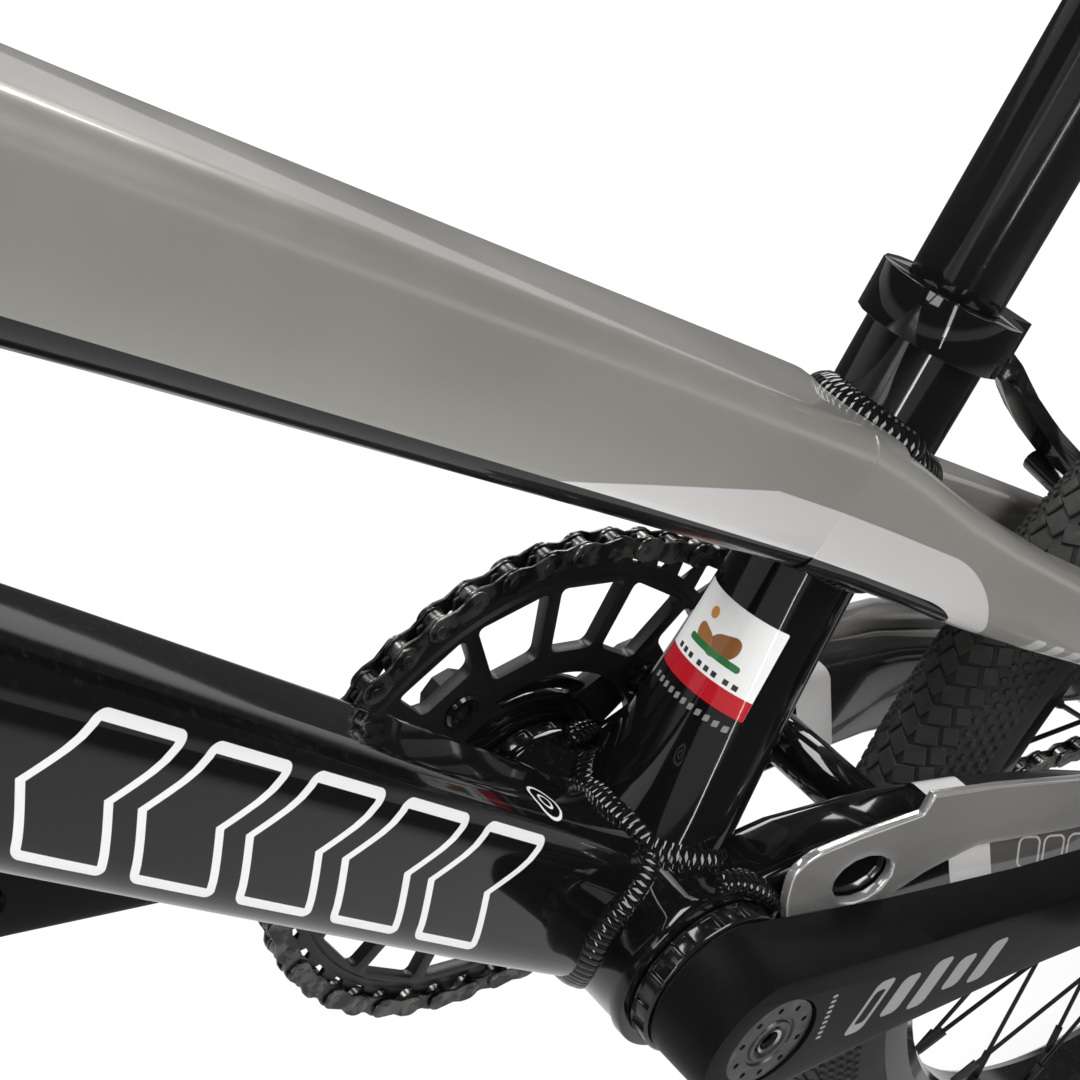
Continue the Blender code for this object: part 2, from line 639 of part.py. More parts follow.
def frame():
    """The welded frame's tubes, each cut to sit against the next."""
    ring = HEAD_TUBE_RADIUS + 0.001
    turned(
        "head_tube",
        [(HEAD_TUBE_BORE, 0), (ring, 0), (ring, 0.006), (HEAD_TUBE_RADIUS, 0.009),
         (HEAD_TUBE_RADIUS, HEAD_TUBE_LENGTH - 0.009), (ring, HEAD_TUBE_LENGTH - 0.006),
         (ring, HEAD_TUBE_LENGTH),
         (HEAD_TUBE_BORE, HEAD_TUBE_LENGTH)],
        HEAD_BOTTOM, STEER_UP, GLOSS_BLACK, 20,
    )
    seat_tube = loft("seat_tube", seat_tube_stations(), GLOSS_BLACK, 2.0, 20)
    down_tube = loft("down_tube", DOWN_TUBE, GLOSS_BLACK, 2.6, 20)
    top_tube = loft("top_tube", TOP_TUBE, WARM_GREY, 3.2, 20)
    shell_cutter = rod("shell_space", (0, -0.08, 0), (0, 0.08, 0), SHELL_LIP_RADIUS + 2 * GAP, GLOSS_BLACK,
                       32,
                       collection=cutters)
    head_cutter = rod("head_space", HEAD_BOTTOM - 0.03 * STEER_UP, HEAD_TOP + 0.03 * STEER_UP,
                      ring + 2 * GAP, GLOSS_BLACK, 24, collection=cutters)
    seat_cutter = loft("seat_tube_space", seat_tube_stations(GAP), GLOSS_BLACK, 2.0, 20, cutters)
    seat_upper = rod("seat_tube_through", seat_at(0.10), seat_at(SEAT_TUBE_TOP + 0.03),
                     SEAT_TUBE_WIDTH / 2 + 3 * GAP,
                     GLOSS_BLACK, 24, collection=cutters)
    front_half = box("behind_seat_tube", seat_at(0.14) + 0.1 * BACK, (0.2, 0.2, 0.2), GLOSS_BLACK,
                     collection=cutters)
    for tube, spaces in (
        (seat_tube, (shell_cutter,)),
        (down_tube, (shell_cutter, head_cutter, seat_cutter)),
        (top_tube, (head_cutter, seat_upper, seat_cutter, front_half)),
    ):
        for space in spaces:
            cut(tube, space)
    bore(seat_tube, seat_at(0.06), seat_at(SEAT_TUBE_TOP + 0.02), SEAT_POST_RADIUS + RUNNING, 24)
    for name, way in (("left", 1), ("right", -1)):
        chainstay = loft(name + "_chainstay", flipped(CHAINSTAY, way), GLOSS_BLACK, 3.4, STAY_SIDES)
        for space in (shell_cutter, seat_cutter):
            cut(chainstay, space)
        seatstay = loft(name + "_seatstay", flipped(SEATSTAY, way), WARM_GREY, 3.2, STAY_SIDES)
        other_side = box(name + "_other_side", (-0.05, way * (GAP / 2 - 0.03), 0.12), (0.3, 0.06, 0.3),
                         GLOSS_BLACK,
                         collection=cutters)
        top_space = loft(name + "_top_tube_space", grown(TOP_TUBE, GAP), GLOSS_BLACK, 3.2, 20, cutters)
        cut(top_space, front_half)
        for space in (seat_upper, seat_cutter, other_side, top_space):
            cut(seatstay, space)


# ---------------------------------------------------------------- dropouts and small frame parts
PLATE_THICKNESS = 0.003


def dropout_face(x):
    """The inner y of a dropout plate at x: against the chainstay in front, at the hub behind."""
    drawn = ((-0.260, 0.0546), (-0.200, 0.0535), (-0.150, 0.0500), (-0.105, 0.0455), (-0.070, 0.0439),
             (-0.010, 0.0439))
    moved = [aft(mark, 0, y) for mark, y in drawn]
    marks = [(aft(-0.330, 0).x, DROPOUT_INNER), *((spot.x, spot.y) for spot in moved)]
    if x <= marks[0][0]:
        return marks[0][1]
    for (low_x, low_y), (high_x, high_y) in zip(marks, marks[1:]):
        if x <= high_x:
            return low_y + (high_y - low_y) * (x - low_x) / (high_x - low_x)
    return marks[-1][1]


def placed(point):
    """An outline's drawn (x, z), moved with the rear axle."""
    spot = aft(*point)
    return spot.x, spot.z


def dropout(name, way, front):
    """The polished plate that runs along the chainstay and holds the axle."""
    axle_x, axle_z = DRAWN_AXLE.x, DRAWN_AXLE.z
    tail = [(-0.160, 0.014), (-0.240, -0.014), (-0.300, -0.036), (axle_x + 0.028, axle_z - 0.015),
            (axle_x + 0.012, axle_z - 0.021), (axle_x - 0.022, axle_z - 0.017),
            (axle_x - 0.034, axle_z - 0.010), (axle_x - 0.035, axle_z + 0.010),
            (axle_x - 0.022, axle_z + 0.018), (axle_x + 0.006, axle_z + 0.036), (axle_x + 0.026, 0.016),
            (axle_x + 0.040, 0.027), (axle_x + 0.052, 0.021), (axle_x + 0.056, 0.006), (-0.285, -0.006),
            (-0.240, 0.012), (-0.190, 0.0265), (-0.150, 0.0365)]
    if front == "long":
        nose = [(-0.100, 0.0440), (-0.074, 0.0480), (-0.0725, 0.0410), (-0.045, 0.0410), (-0.026, 0.0400),
                (-0.0190, 0.0350), (-0.0210, 0.0230), (-0.0268, 0.0100), (-0.034, 0.0030), (-0.050, 0.0015),
                (-0.066, 0.0050), (-0.086, 0.0140), (-0.107, 0.0187)]
        holes = [[(-0.0545 + 0.0125 * math.cos(turn) + 0.004 * math.sin(turn),
                   0.0235 + 0.0075 * math.sin(turn))
                  for turn in (2 * math.pi * number / 14 for number in range(14))]]
    else:
        nose = [(-0.118, 0.0400), (-0.108, 0.0350), (-0.107, 0.0250), (-0.118, 0.0180)]
        holes = []
    shape = plate(name, [*map(placed, tail + nose)], 0.0, PLATE_THICKNESS, POLISHED,
                  [[*map(placed, hole)] for hole in holes])
    fine = bmesh.new()
    fine.from_mesh(shape.data)
    for mark in (-0.330, -0.300, -0.260, -0.200, -0.150, -0.105, -0.070):
        parts = fine.verts[:] + fine.edges[:] + fine.faces[:]
        bmesh.ops.bisect_plane(fine, geom=parts, plane_co=(aft(mark, 0).x, 0, 0), plane_no=(1, 0, 0))
    fine.to_mesh(shape.data)
    fine.free()
    place = shape.matrix_world.copy()
    shape.data.transform(place)
    shape.matrix_world = Matrix()
    thicker = DROPOUT_THICKNESS / PLATE_THICKNESS
    thick_from, thick_to = aft(-0.300, 0).x, aft(-0.330, 0).x

    def against(spot):
        share = min(max((thick_from - spot.x) / (thick_from - thick_to), 0), 1)
        depth = spot.y * (1 + (thicker - 1) * share)
        return Vector((spot.x, way * (dropout_face(spot.x) + depth), spot.z))

    reshape(shape, against)
    if way < 0:
        shape.data.flip_normals()
    bmesh_fixed(shape)
    slot_front = REAR_AXLE.x + AXLE_RADIUS + 0.001
    slot = box(name + "_slot", (slot_front - 0.05, way * DROPOUT_INNER, REAR_AXLE.z),
               (0.1, 0.04, 2 * (AXLE_RADIUS + GAP)), POLISHED, collection=cutters)
    cut(shape, slot)
    cut(shape, rod(name + "_cup_space", (0, -0.08, 0), (0, 0.08, 0), CUP_RADIUS + 2 * GAP, POLISHED, 24,
                   collection=cutters))


def bmesh_fixed(made):
    """Turns every face of a mesh object outwards."""
    shape = bmesh.new()
    shape.from_mesh(made.data)
    bmesh.ops.recalc_face_normals(shape, faces=shape.faces)
    shape.to_mesh(made.data)
    shape.free()
    return made


BRIDGE_SPOT = aft(-0.082, 0.019)
BRAKE_BRIDGE_SPOT = aft(-0.116, 0.0985)


def small_frame_parts():
    """Bridges, seat clamp, rear axle and headset."""
    reach = 0.04 * LEFT
    bridge = rod("chainstay_bridge", BRIDGE_SPOT - reach, BRIDGE_SPOT + reach, 0.0085, GLOSS_BLACK, 16)
    brake_bridge = rod("seatstay_bridge", BRAKE_BRIDGE_SPOT - reach, BRAKE_BRIDGE_SPOT + reach, 0.0065,
                       WARM_GREY, 12)
    for made, stations, squareness in ((bridge, CHAINSTAY, 3.4), (brake_bridge, SEATSTAY, 3.2)):
        for way in (1, -1):
            space = loft(made.name + "_stay_space", grown(flipped(stations, way), GAP), GLOSS_BLACK,
                         squareness, STAY_SIDES, cutters)
            cut(made, space)
            beyond = box(made.name + "_beyond", (-0.1, way * 0.0735, 0.05), (0.3, 0.08, 0.4), GLOSS_BLACK,
                         collection=cutters)
            cut(made, beyond)
    top = seat_at(SEAT_TUBE_TOP)
    inner = SEAT_TUBE_WIDTH / 2 + GAP
    clamp = turned(
        "seat_clamp",
        [(inner, -0.011), (inner + 0.0035, -0.011), (inner + 0.0035, 0.003), (SEAT_POST_RADIUS + GAP, 0.003),
         (SEAT_POST_RADIUS + GAP, GAP), (inner, GAP)],
        top, SEAT_UP, GLOSS_BLACK, 18,
    )
    seat_fore = side(math.sin(SEAT_ANGLE), math.cos(SEAT_ANGLE))
    lug = box("seat_clamp_lug", top - 0.004 * SEAT_UP - (inner + 0.007) * seat_fore, (0.012, 0.016, 0.0135),
              GLOSS_BLACK, towards(SEAT_UP), cutters)
    cut(clamp, lug, "UNION")
    bore(clamp, top - 0.02 * SEAT_UP, top + GAP * SEAT_UP, inner, 18)
    inside, outside = STEERER_RADIUS + 2 * GAP, HEAD_TUBE_RADIUS + 0.0006
    for name, spot, up in (("lower_headset_cup", HEAD_BOTTOM, -1), ("upper_headset_cup", HEAD_TOP, 1)):
        turned(
            name,
            [(inside, -0.010), (HEAD_TUBE_BORE - GAP, -0.010), (HEAD_TUBE_BORE - GAP, GAP), (outside, GAP),
             (outside, 0.004), (outside - 0.003, HEADSET_STACK - GAP), (inside, HEADSET_STACK - GAP)],
            spot, STEER_UP * up, MATTE_BLACK, 20,
        )


def axle(name, centre, dropout_outer):
    """A wheel axle with its washers and hexagon nuts outside the dropouts."""
    half = dropout_outer + 0.016
    made = rod(name, centre - half * LEFT, centre + half * LEFT, AXLE_RADIUS - 0.0002, STEEL, 12)
    for way in (-1, 1):
        nut_low = dropout_outer + GAP
        nut = rod(name + "_nut", centre + way * (nut_low + 0.0015) * LEFT,
                  centre + way * (nut_low + 0.010) * LEFT, 0.0095, STEEL, 6, collection=cutters)
        cut(made, nut, "UNION")
        washer = rod(name + "_washer", centre + way * nut_low * LEFT,
                     centre + way * (nut_low + 0.0025) * LEFT, 0.0115, STEEL, 12, collection=cutters)
        cut(made, washer, "UNION")


# ---------------------------------------------------------------- wheels
def wheel(prefix, centre, flange_left, flange_right, spacing, shell_radius):
    """A tyre, a rim, and a hub with its spokes."""
    flange = RIM_WIDTH / 2
    wall = RIM_WALL
    bead = flange - wall - GAP
    foot = RIM_RADIUS - RIM_WELL + GAP
    lip = RIM_RADIUS + GAP
    half = TYRE_WIDTH / 2
    belly = RIM_RADIUS + TYRE_HEIGHT - half
    corner = math.degrees(math.acos((lip - belly) / half))
    outside = arc((belly, 0), half, -corner, corner, 6)
    inside = arc((belly, 0), half - TYRE_WALL, 135, -135, 4)
    turned(
        prefix + "_tyre",
        [(foot, -bead), (lip, -bead), *outside, (lip, bead), (foot, bead), (foot, bead - TYRE_WALL), *inside,
         (foot, TYRE_WALL - bead)],
        centre, LEFT, TYRE, WHEEL_STEPS,
    )
    outer, inner = RIM_RADIUS, RIM_RADIUS - RIM_DEPTH
    well = RIM_RADIUS - RIM_WELL
    turned(
        prefix + "_rim",
        [(outer, flange), (inner + 0.006, flange), (inner, 0.0065), (inner, -0.0065),
         (inner + 0.006, -flange), (outer, -flange), (outer, wall - flange), (well, wall - flange),
         (well, flange - wall), (outer, flange - wall)],
        centre, LEFT, GLOSS_BLACK, WHEEL_STEPS,
    )
    flange_radius, thick = SPOKE_CIRCLE + 0.0025, 0.0022
    axle_hole = AXLE_RADIUS + RUNNING
    end = spacing / 2 - GAP
    hub = turned(
        prefix + "_hub",
        [(axle_hole, -end), (0.0105, -end), (shell_radius, flange_right - thick - 0.003),
         (flange_radius, flange_right - thick), (flange_radius, flange_right + thick),
         (shell_radius, flange_right + thick + 0.002), (shell_radius - 0.003, 0.0),
         (shell_radius, flange_left - thick - 0.002), (flange_radius, flange_left - thick),
         (flange_radius, flange_left + thick), (shell_radius, flange_left + thick + 0.003), (0.0105, end),
         (axle_hole, end)],
        centre, LEFT, GLOSS_BLACK, 14,
    )
    spokes = bmesh.new()
    for number in range(SPOKE_COUNT):
        outwards = 1 if number % 2 == 0 else -1
        forward = 1 if (number // 2) % 2 == 0 else -1
        flange_y = flange_left if outwards > 0 else flange_right
        rim_turn = 2 * math.pi * (number + 0.25) / SPOKE_COUNT
        hub_turn = rim_turn + forward * SPOKE_LEAN
        start = Vector((SPOKE_CIRCLE * math.cos(hub_turn), flange_y + forward * 0.0011,
                        SPOKE_CIRCLE * math.sin(hub_turn)))
        reach = inner * math.cos(math.pi / WHEEL_STEPS) - 2 * GAP
        rim_y = outwards * 0.0045 + forward * 0.0016
        end = Vector((reach * math.cos(rim_turn), rim_y, reach * math.sin(rim_turn)))
        place = Matrix.Translation(centre + (start + end) / 2) @ towards(end - start)
        bmesh.ops.create_cone(spokes, cap_ends=True, segments=3, radius1=SPOKE_RADIUS, radius2=SPOKE_RADIUS,
                              depth=(end - start).length, matrix=place)
    cut(hub, from_bmesh(prefix + "_spokes", spokes, STEEL, cutters), "UNION")


# ---------------------------------------------------------------- fork and front end
def fork():
    """The steerer with its crown, two legs, and the front axle."""
    top = (STEM_CENTRE - CROWN).length + STEM_HEIGHT / 2 - 0.003
    inside = STEERER_RADIUS - 0.0038
    crown = STEERER_RADIUS + 0.0072
    turned(
        "fork_steerer",
        [(inside, -0.026), (crown - 0.001, -0.026), (crown, -0.006), (crown, -GAP), (STEERER_RADIUS, -GAP),
         (STEERER_RADIUS, top), (inside, top)],
        CROWN, STEER_UP, GLOSS_BLACK, 20,
    )
    half = FORK_SPACING / 2
    inner = half + GAP
    for name, way in (("left_fork_leg", 1), ("right_fork_leg", -1)):
        shoulder = CROWN - 0.022 * STEER_UP
        marks = [
            shoulder + way * 0.015 * LEFT + 0.001 * STEER_UP,
            shoulder + way * 0.034 * LEFT - 0.003 * STEER_UP,
            shoulder + way * 0.045 * LEFT - 0.022 * STEER_UP,
            CROWN - 0.080 * STEER_UP + way * (half - 0.0025) * LEFT,
            CROWN - 0.200 * STEER_UP + way * (half + 0.0010) * LEFT + 0.012 * STEER_FORE,
            FRONT_AXLE + 0.030 * STEER_UP + way * (half + 0.0045) * LEFT - 0.006 * STEER_FORE,
        ]
        count = 13
        taper = [1 - 0.45 * max(0, (number - 3) / (count - 4)) for number in range(count)]
        leg = bend(name, smooth(marks, count), 0.0158, GLOSS_BLACK, 2, along=taper)
        low, high = sorted((way * inner, way * (inner + DROPOUT_THICKNESS)))
        tab = plate(
            name + "_dropout",
            arc((FRONT_AXLE.x, FRONT_AXLE.z), 0.016, -215, 35, 9)
            + [(FRONT_AXLE.x + 0.002, FRONT_AXLE.z + 0.040), (FRONT_AXLE.x - 0.022, FRONT_AXLE.z + 0.036)],
            low, high, GLOSS_BLACK,
        )
        cut(leg, tab, "UNION")
        bore(leg, FRONT_AXLE - 0.1 * LEFT, FRONT_AXLE + 0.1 * LEFT, AXLE_RADIUS + 0.0001, 12)
        steer_space = turned(
            name + "_crown_space",
            [(0.0004, -0.026 - GAP), (crown - 0.001 + GAP, -0.026 - GAP), (crown + GAP, -0.006),
             (crown + GAP, 0.02),
             (0.0004, 0.02)],
            CROWN, STEER_UP, GLOSS_BLACK, 20, cutters,
        )
        cut(leg, steer_space)
        clear = box(name + "_wheel_space", FRONT_AXLE + 0.01 * STEER_UP, (0.05, 2 * inner, 0.06), GLOSS_BLACK,
                    towards(STEER_UP), cutters)
        cut(leg, clear)


def stem_and_bar():
    """Stem, faceplate, handlebar with its crossbar, grips and the headset's top cap."""
    tilt = Matrix(((STEER_FORE.x, 0, STEER_UP.x, 0), (0, 1, 0, 0), (STEER_FORE.z, 0, STEER_UP.z, 0),
                   (0, 0, 0, 1)))
    body_front = STEM_REACH - 0.0025
    body_back = -0.0205
    stem = box("stem", STEM_CENTRE + (body_front + body_back) / 2 * STEER_FORE,
               (body_front - body_back, 0.050, STEM_HEIGHT), GLOSS_BLACK, tilt)
    round_edges(stem, 0.006, 2)
    bore(stem, STEM_CENTRE - 0.04 * STEER_UP, STEM_CENTRE + 0.04 * STEER_UP, STEERER_RADIUS + GAP, 24)
    bore(stem, BAR_CENTRE - 0.05 * LEFT, BAR_CENTRE + 0.05 * LEFT, BAR_CLAMP_RADIUS + 3 * GAP, 16)
    window_cut = box("stem_window", STEM_CENTRE + 0.0245 * STEER_FORE, (0.010, 0.030, 0.1), GLOSS_BLACK,
                     tilt, cutters)
    cut(stem, window_cut)
    plate_back, plate_front = STEM_REACH + 0.001, STEM_REACH + 0.0235
    face = box("stem_faceplate", STEM_CENTRE + (plate_back + plate_front) / 2 * STEER_FORE,
               (plate_front - plate_back, 0.050, STEM_HEIGHT), GLOSS_BLACK, tilt)
    round_edges(face, 0.004, 2)
    bore(face, BAR_CENTRE - 0.05 * LEFT, BAR_CENTRE + 0.05 * LEFT, BAR_CLAMP_RADIUS + 3 * GAP, 16)
    top = STEM_CENTRE + (STEM_HEIGHT / 2 + GAP) * STEER_UP
    turned(
        "headset_top_cap", [(0.002, 0), (0.0165, 0), (0.0165, 0.003), (0.014, 0.0045), (0.002, 0.0045)], top,
        STEER_UP,
        MATTE_BLACK, 20,
    )
    handlebar()


def bar_points():
    """The left half of the handlebar: a curve from the clamp to the last bend, then a straight end."""
    bend_y = BAR_WIDTH / 2 - BAR_STRAIGHT
    grip_way = (0.158 * LEFT + 0.004 * STEER_UP - 0.035 * STEER_FORE).normalized()
    shape = ((0, 0), (0.27, 0), (0.402, 0.039), (0.50, 0.185), (0.637, 0.488), (0.784, 0.810),
             (0.873, 0.9415), (1, 1))
    marks = [BAR_CENTRE + across * bend_y * LEFT + up * BAR_RISE * STEER_UP for across, up in shape]
    return [*smooth(marks, 15), marks[-1] + grip_way * (BAR_STRAIGHT / grip_way.y)]


def bar_at_height(height):
    """The left half of the bar at a height over the clamp, and its direction there."""
    half = bar_points()
    for first, second in zip(half, half[1:]):
        low, high = (first - BAR_CENTRE).dot(STEER_UP), (second - BAR_CENTRE).dot(STEER_UP)
        if low <= height <= high:
            return first.lerp(second, (height - low) / (high - low)), (second - first).normalized()
    return half[-1], (half[-1] - half[-2]).normalized()


def handlebar():
    """The bent bar, its crossbar, and the two grips."""
    half = bar_points()
    points = [Vector((spot.x, -spot.y, spot.z)) for spot in reversed(half[1:])] + half
    thick = []
    for spot in points:
        share = min(max((0.075 - abs(spot.y)) / 0.015, 0), 1)
        thick.append(1 + share * (BAR_CLAMP_RADIUS / BAR_RADIUS - 1))
    bend("handlebar", points, BAR_RADIUS, GLOSS_BLACK, 2, along=thick)
    level = 0.576 * BAR_RISE
    near, _ = bar_at_height(level)
    reach = abs(near.y) - BAR_RADIUS - GAP
    spot = BAR_CENTRE + level * STEER_UP
    crossbar = rod("handlebar_crossbar", spot - (reach + 0.03) * LEFT, spot + (reach + 0.03) * LEFT, 0.0095,
                   GLOSS_BLACK, 14)
    space = bend("handlebar_space", points, BAR_RADIUS + GAP, GLOSS_BLACK, 2, cutters)
    cut(crossbar, space)
    for way in (1, -1):
        beyond = box("crossbar_beyond", spot + way * (reach + 0.062) * LEFT, (0.1, 0.1, 0.1), GLOSS_BLACK,
                     collection=cutters)
        cut(crossbar, beyond)
    tip = half[-1]
    inward = (half[-2] - half[-1]).normalized()
    inside, outside, ring = BAR_RADIUS + GAP, BAR_RADIUS + 0.0039, BAR_RADIUS + 0.0094
    for name, way in (("left_grip", 1), ("right_grip", -1)):
        flip = Matrix.Diagonal((1, way, 1, 1))
        turned(
            name,
            [(0.002, -0.004), (outside + 0.001, -0.004), (outside + 0.0015, 0.003), (outside, 0.008),
             (outside, GRIP_LENGTH - 0.006), (ring, GRIP_LENGTH - 0.004), (ring, GRIP_LENGTH),
             (inside, GRIP_LENGTH),
             (inside, -GAP), (0.002, -GAP)],
            flip @ tip, flip @ inward, RUBBER, 14,
        )


# ---------------------------------------------------------------- seat
def seat():
    """Seat post, saddle and its pivot bolt."""
    post = rod("seatpost", seat_at(0.085), seat_at(POST_TOP), SEAT_POST_RADIUS, GLOSS_BLACK, 24)
    head = seat_at(POST_TOP) + side(0.002, 0.004)
    crown = rod("seatpost_head", head - 0.016 * LEFT, head + 0.016 * LEFT, 0.0125, GLOSS_BLACK, 20,
                collection=cutters)
    cut(post, crown, "UNION")
    hole = rod("seatpost_pin_hole", head - 0.03 * LEFT, head + 0.03 * LEFT, SADDLE_PIN_RADIUS + GAP,
               GLOSS_BLACK, 12, collection=cutters)
    cut(post, hole)
    under = head.z + 0.0125
    sections = [
        (-0.118, 0.030, 0.112, 0.012), (-0.108, 0.029, 0.132, 0.022), (-0.070, 0.024, 0.138, 0.030),
        (-0.020, 0.020, 0.104, 0.030), (0.040, 0.019, 0.058, 0.026), (0.095, 0.018, 0.040, 0.022),
        (0.125, 0.0165, 0.034, 0.018), (0.133, 0.0155, 0.020, 0.009),
    ]
    stations = [(side(head.x + x, under + rise), wide, tall) for x, rise, wide, tall in sections]
    saddle = loft("saddle", stations, SEAT, 2.5, 18)
    lugs = bmesh.new()
    for way in (-1, 1):
        place = Matrix.Translation((head.x, way * 0.0205, under - 0.006))
        bmesh.ops.create_cube(lugs, size=1, matrix=place @ Matrix.Diagonal((0.026, 0.0075, 0.034, 1)))
    cut(saddle, from_bmesh("saddle_lugs", lugs, SEAT, cutters), "UNION")
    bore(saddle, head - 0.04 * LEFT, head + 0.04 * LEFT, SADDLE_PIN_RADIUS + GAP, 12)
    bolt = rod("saddle_bolt", head - 0.0245 * LEFT, head + 0.0280 * LEFT, SADDLE_PIN_RADIUS, STEEL, 12)
    bolt_head = rod("saddle_bolt_head", head + 0.0246 * LEFT, head + 0.0290 * LEFT, 0.0075, STEEL, 12,
                    collection=cutters)
    cut(bolt, bolt_head, "UNION")


# ---------------------------------------------------------------- pedals
def pedals():
    """Platform pedals on axles that screw into the cranks."""
    for name, way in (("left", 1), ("right", -1)):
        centre = Vector((-way * CRANK_LENGTH, 0, 0))
        start = way * (ARM_TIP_INNER + 0.001)
        inner = way * (ARM_TIP_OUTER + 0.0045)
        outer = inner + way * PEDAL_WIDTH
        made = rod(name + "_pedal_axle", centre + start * LEFT, centre + (outer - way * 0.010) * LEFT,
                   PEDAL_AXLE_RADIUS, STEEL, 12)
        thread = rod(name + "_pedal_thread", centre + start * LEFT, centre + (inner - way * 0.0035) * LEFT,
                     PEDAL_THREAD_RADIUS, STEEL, 12, collection=cutters)
        cut(made, thread, "UNION")
        collar = rod(name + "_pedal_collar", centre + (way * ARM_TIP_OUTER + way * 0.0006) * LEFT,
                     centre + (inner - way * 0.0006) * LEFT, 0.0088, STEEL, 6, collection=cutters)
        cut(made, collar, "UNION")
        half = PEDAL_LENGTH / 2
        chamfer = 0.014
        outline = [(half, 0.012), (half - chamfer, 0.0), (chamfer - half, 0.0), (-half, 0.012),
                   (-half, PEDAL_WIDTH - 0.020), (-half + 0.020, PEDAL_WIDTH), (half - 0.020, PEDAL_WIDTH),
                   (half, PEDAL_WIDTH - 0.020)]
        slots = []
        for sign in (-1, 1):
            slots.append([(sign * 0.012, 0.014), (sign * 0.040, 0.018), (sign * 0.040, 0.074),
                          (sign * 0.030, 0.084),
                          (sign * 0.012, 0.084)])
        pedal = plate(name + "_pedal", outline, -PEDAL_HEIGHT / 2, PEDAL_HEIGHT / 2, MATTE_BLACK, slots)
        pedal.data.transform(pedal.matrix_world)
        turn = Matrix(((1, 0, 0, 0), (0, 0, way, 0), (0, 1, 0, 0), (0, 0, 0, 1)))
        pedal.data.transform(Matrix.Translation((centre.x, inner, 0)) @ turn)
        pedal.matrix_world = Matrix()
        bmesh_fixed(pedal)
        bore(pedal, centre + (inner - way * 0.01) * LEFT, centre + (outer - way * 0.0095) * LEFT,
             PEDAL_AXLE_RADIUS + RUNNING, 12)


# ---------------------------------------------------------------- rear brake
BOSS_Y = 0.040
ARM_OFFSET = 0.0206  # of the arms' middle from the stays' middle, along the bosses


def brake_frame():
    """The brake boss: its centre, the way out from the axle, and the way back and up along the pivot."""
    spot = aft(-0.2285, 0.0540)
    out = (spot - REAR_AXLE).normalized()
    return spot, out, side(-out.z, out.x)


def brakes():
    """Two linear-pull arms with pads, on bosses of the seatstays."""
    spot, out, pivot = brake_frame()
    for name, way in (("left_brake_arm", 1), ("right_brake_arm", -1)):
        base = spot + ARM_OFFSET * pivot + way * BOSS_Y * LEFT
        marks = [base, base + 0.030 * out + way * 0.010 * LEFT, base + 0.065 * out + way * 0.011 * LEFT,
                 base + 0.098 * out + way * 0.004 * LEFT]
        arm = bend(name, smooth(marks, 7), 0.0062, GLOSS_BLACK, 1, along=[1.15, 1.05, 1, 1, 0.95, 0.9, 0.8])
        knuckle = rod(name + "_knuckle", base - 0.0075 * pivot, base + 0.0085 * pivot, 0.0095, GLOSS_BLACK,
                      14,
                      collection=cutters)
        cut(arm, knuckle, "UNION")
        rim_side = RIM_WIDTH / 2 + 0.0016
        at = spot + (RIM_RADIUS - 0.0075 - (spot - REAR_AXLE).length) * out
        pad = box(name + "_pad", at + way * (rim_side + 0.0055) * LEFT, (0.010, 0.011, 0.054), RUBBER,
                  Matrix(((out.x, 0, pivot.x, 0), (0, 1, 0, 0), (out.z, 0, pivot.z, 0), (0, 0, 0, 1))),
                  cutters)
        post = rod(name + "_pad_post", at + way * (rim_side + 0.004) * LEFT + 0.008 * pivot,
                   at + way * 0.0500 * LEFT + 0.012 * pivot, 0.0040, STEEL, 12, collection=cutters)
        cut(arm, pad, "UNION")
        cut(arm, post, "UNION")
        bore(arm, base - 0.02 * pivot, base + 0.02 * pivot, 0.0040 + RUNNING, 12)
        boss = rod(name + "_boss", spot + way * BOSS_Y * LEFT, base + 0.0105 * pivot, 0.0040, STEEL, 12,
                   collection=cutters)
        foot = rod(name + "_boss_foot", spot + way * BOSS_Y * LEFT, base - 0.0078 * pivot, 0.0070, STEEL, 12,
                   collection=cutters)
        stay = bpy.data.objects[name.split("_")[0] + "_seatstay"]
        cut(stay, foot, "UNION")
        cut(stay, boss, "UNION")


def bar_at(y):
    """The handlebar's centre and direction at a distance from the middle."""
    half = bar_points()
    for first, second in zip(half, half[1:]):
        if first.y <= abs(y) <= second.y:
            share = (abs(y) - first.y) / (second.y - first.y)
            spot = first.lerp(second, share)
            along = (second - first).normalized()
            if y < 0:
                return Vector((spot.x, -spot.y, spot.z)), Vector((along.x, -along.y, along.z))
            return spot, along
    return half[-1], (half[-1] - half[-2]).normalized()


LEVER_CLAMP_Y = BAR_STRAIGHT - BAR_WIDTH / 2 - 0.0125
LEVER_FORWARD = side(math.cos(math.radians(38)), -math.sin(math.radians(38)))


def lever_places():
    """The clamp's centre, the bar's direction there, the lever's forward way, and its pivot."""
    spot, along = bar_at(LEVER_CLAMP_Y)
    forward = (LEVER_FORWARD - along * LEVER_FORWARD.dot(along)).normalized()
    pivot = spot + 0.026 * forward - 0.006 * along
    return spot, along, forward, pivot, forward.cross(along)


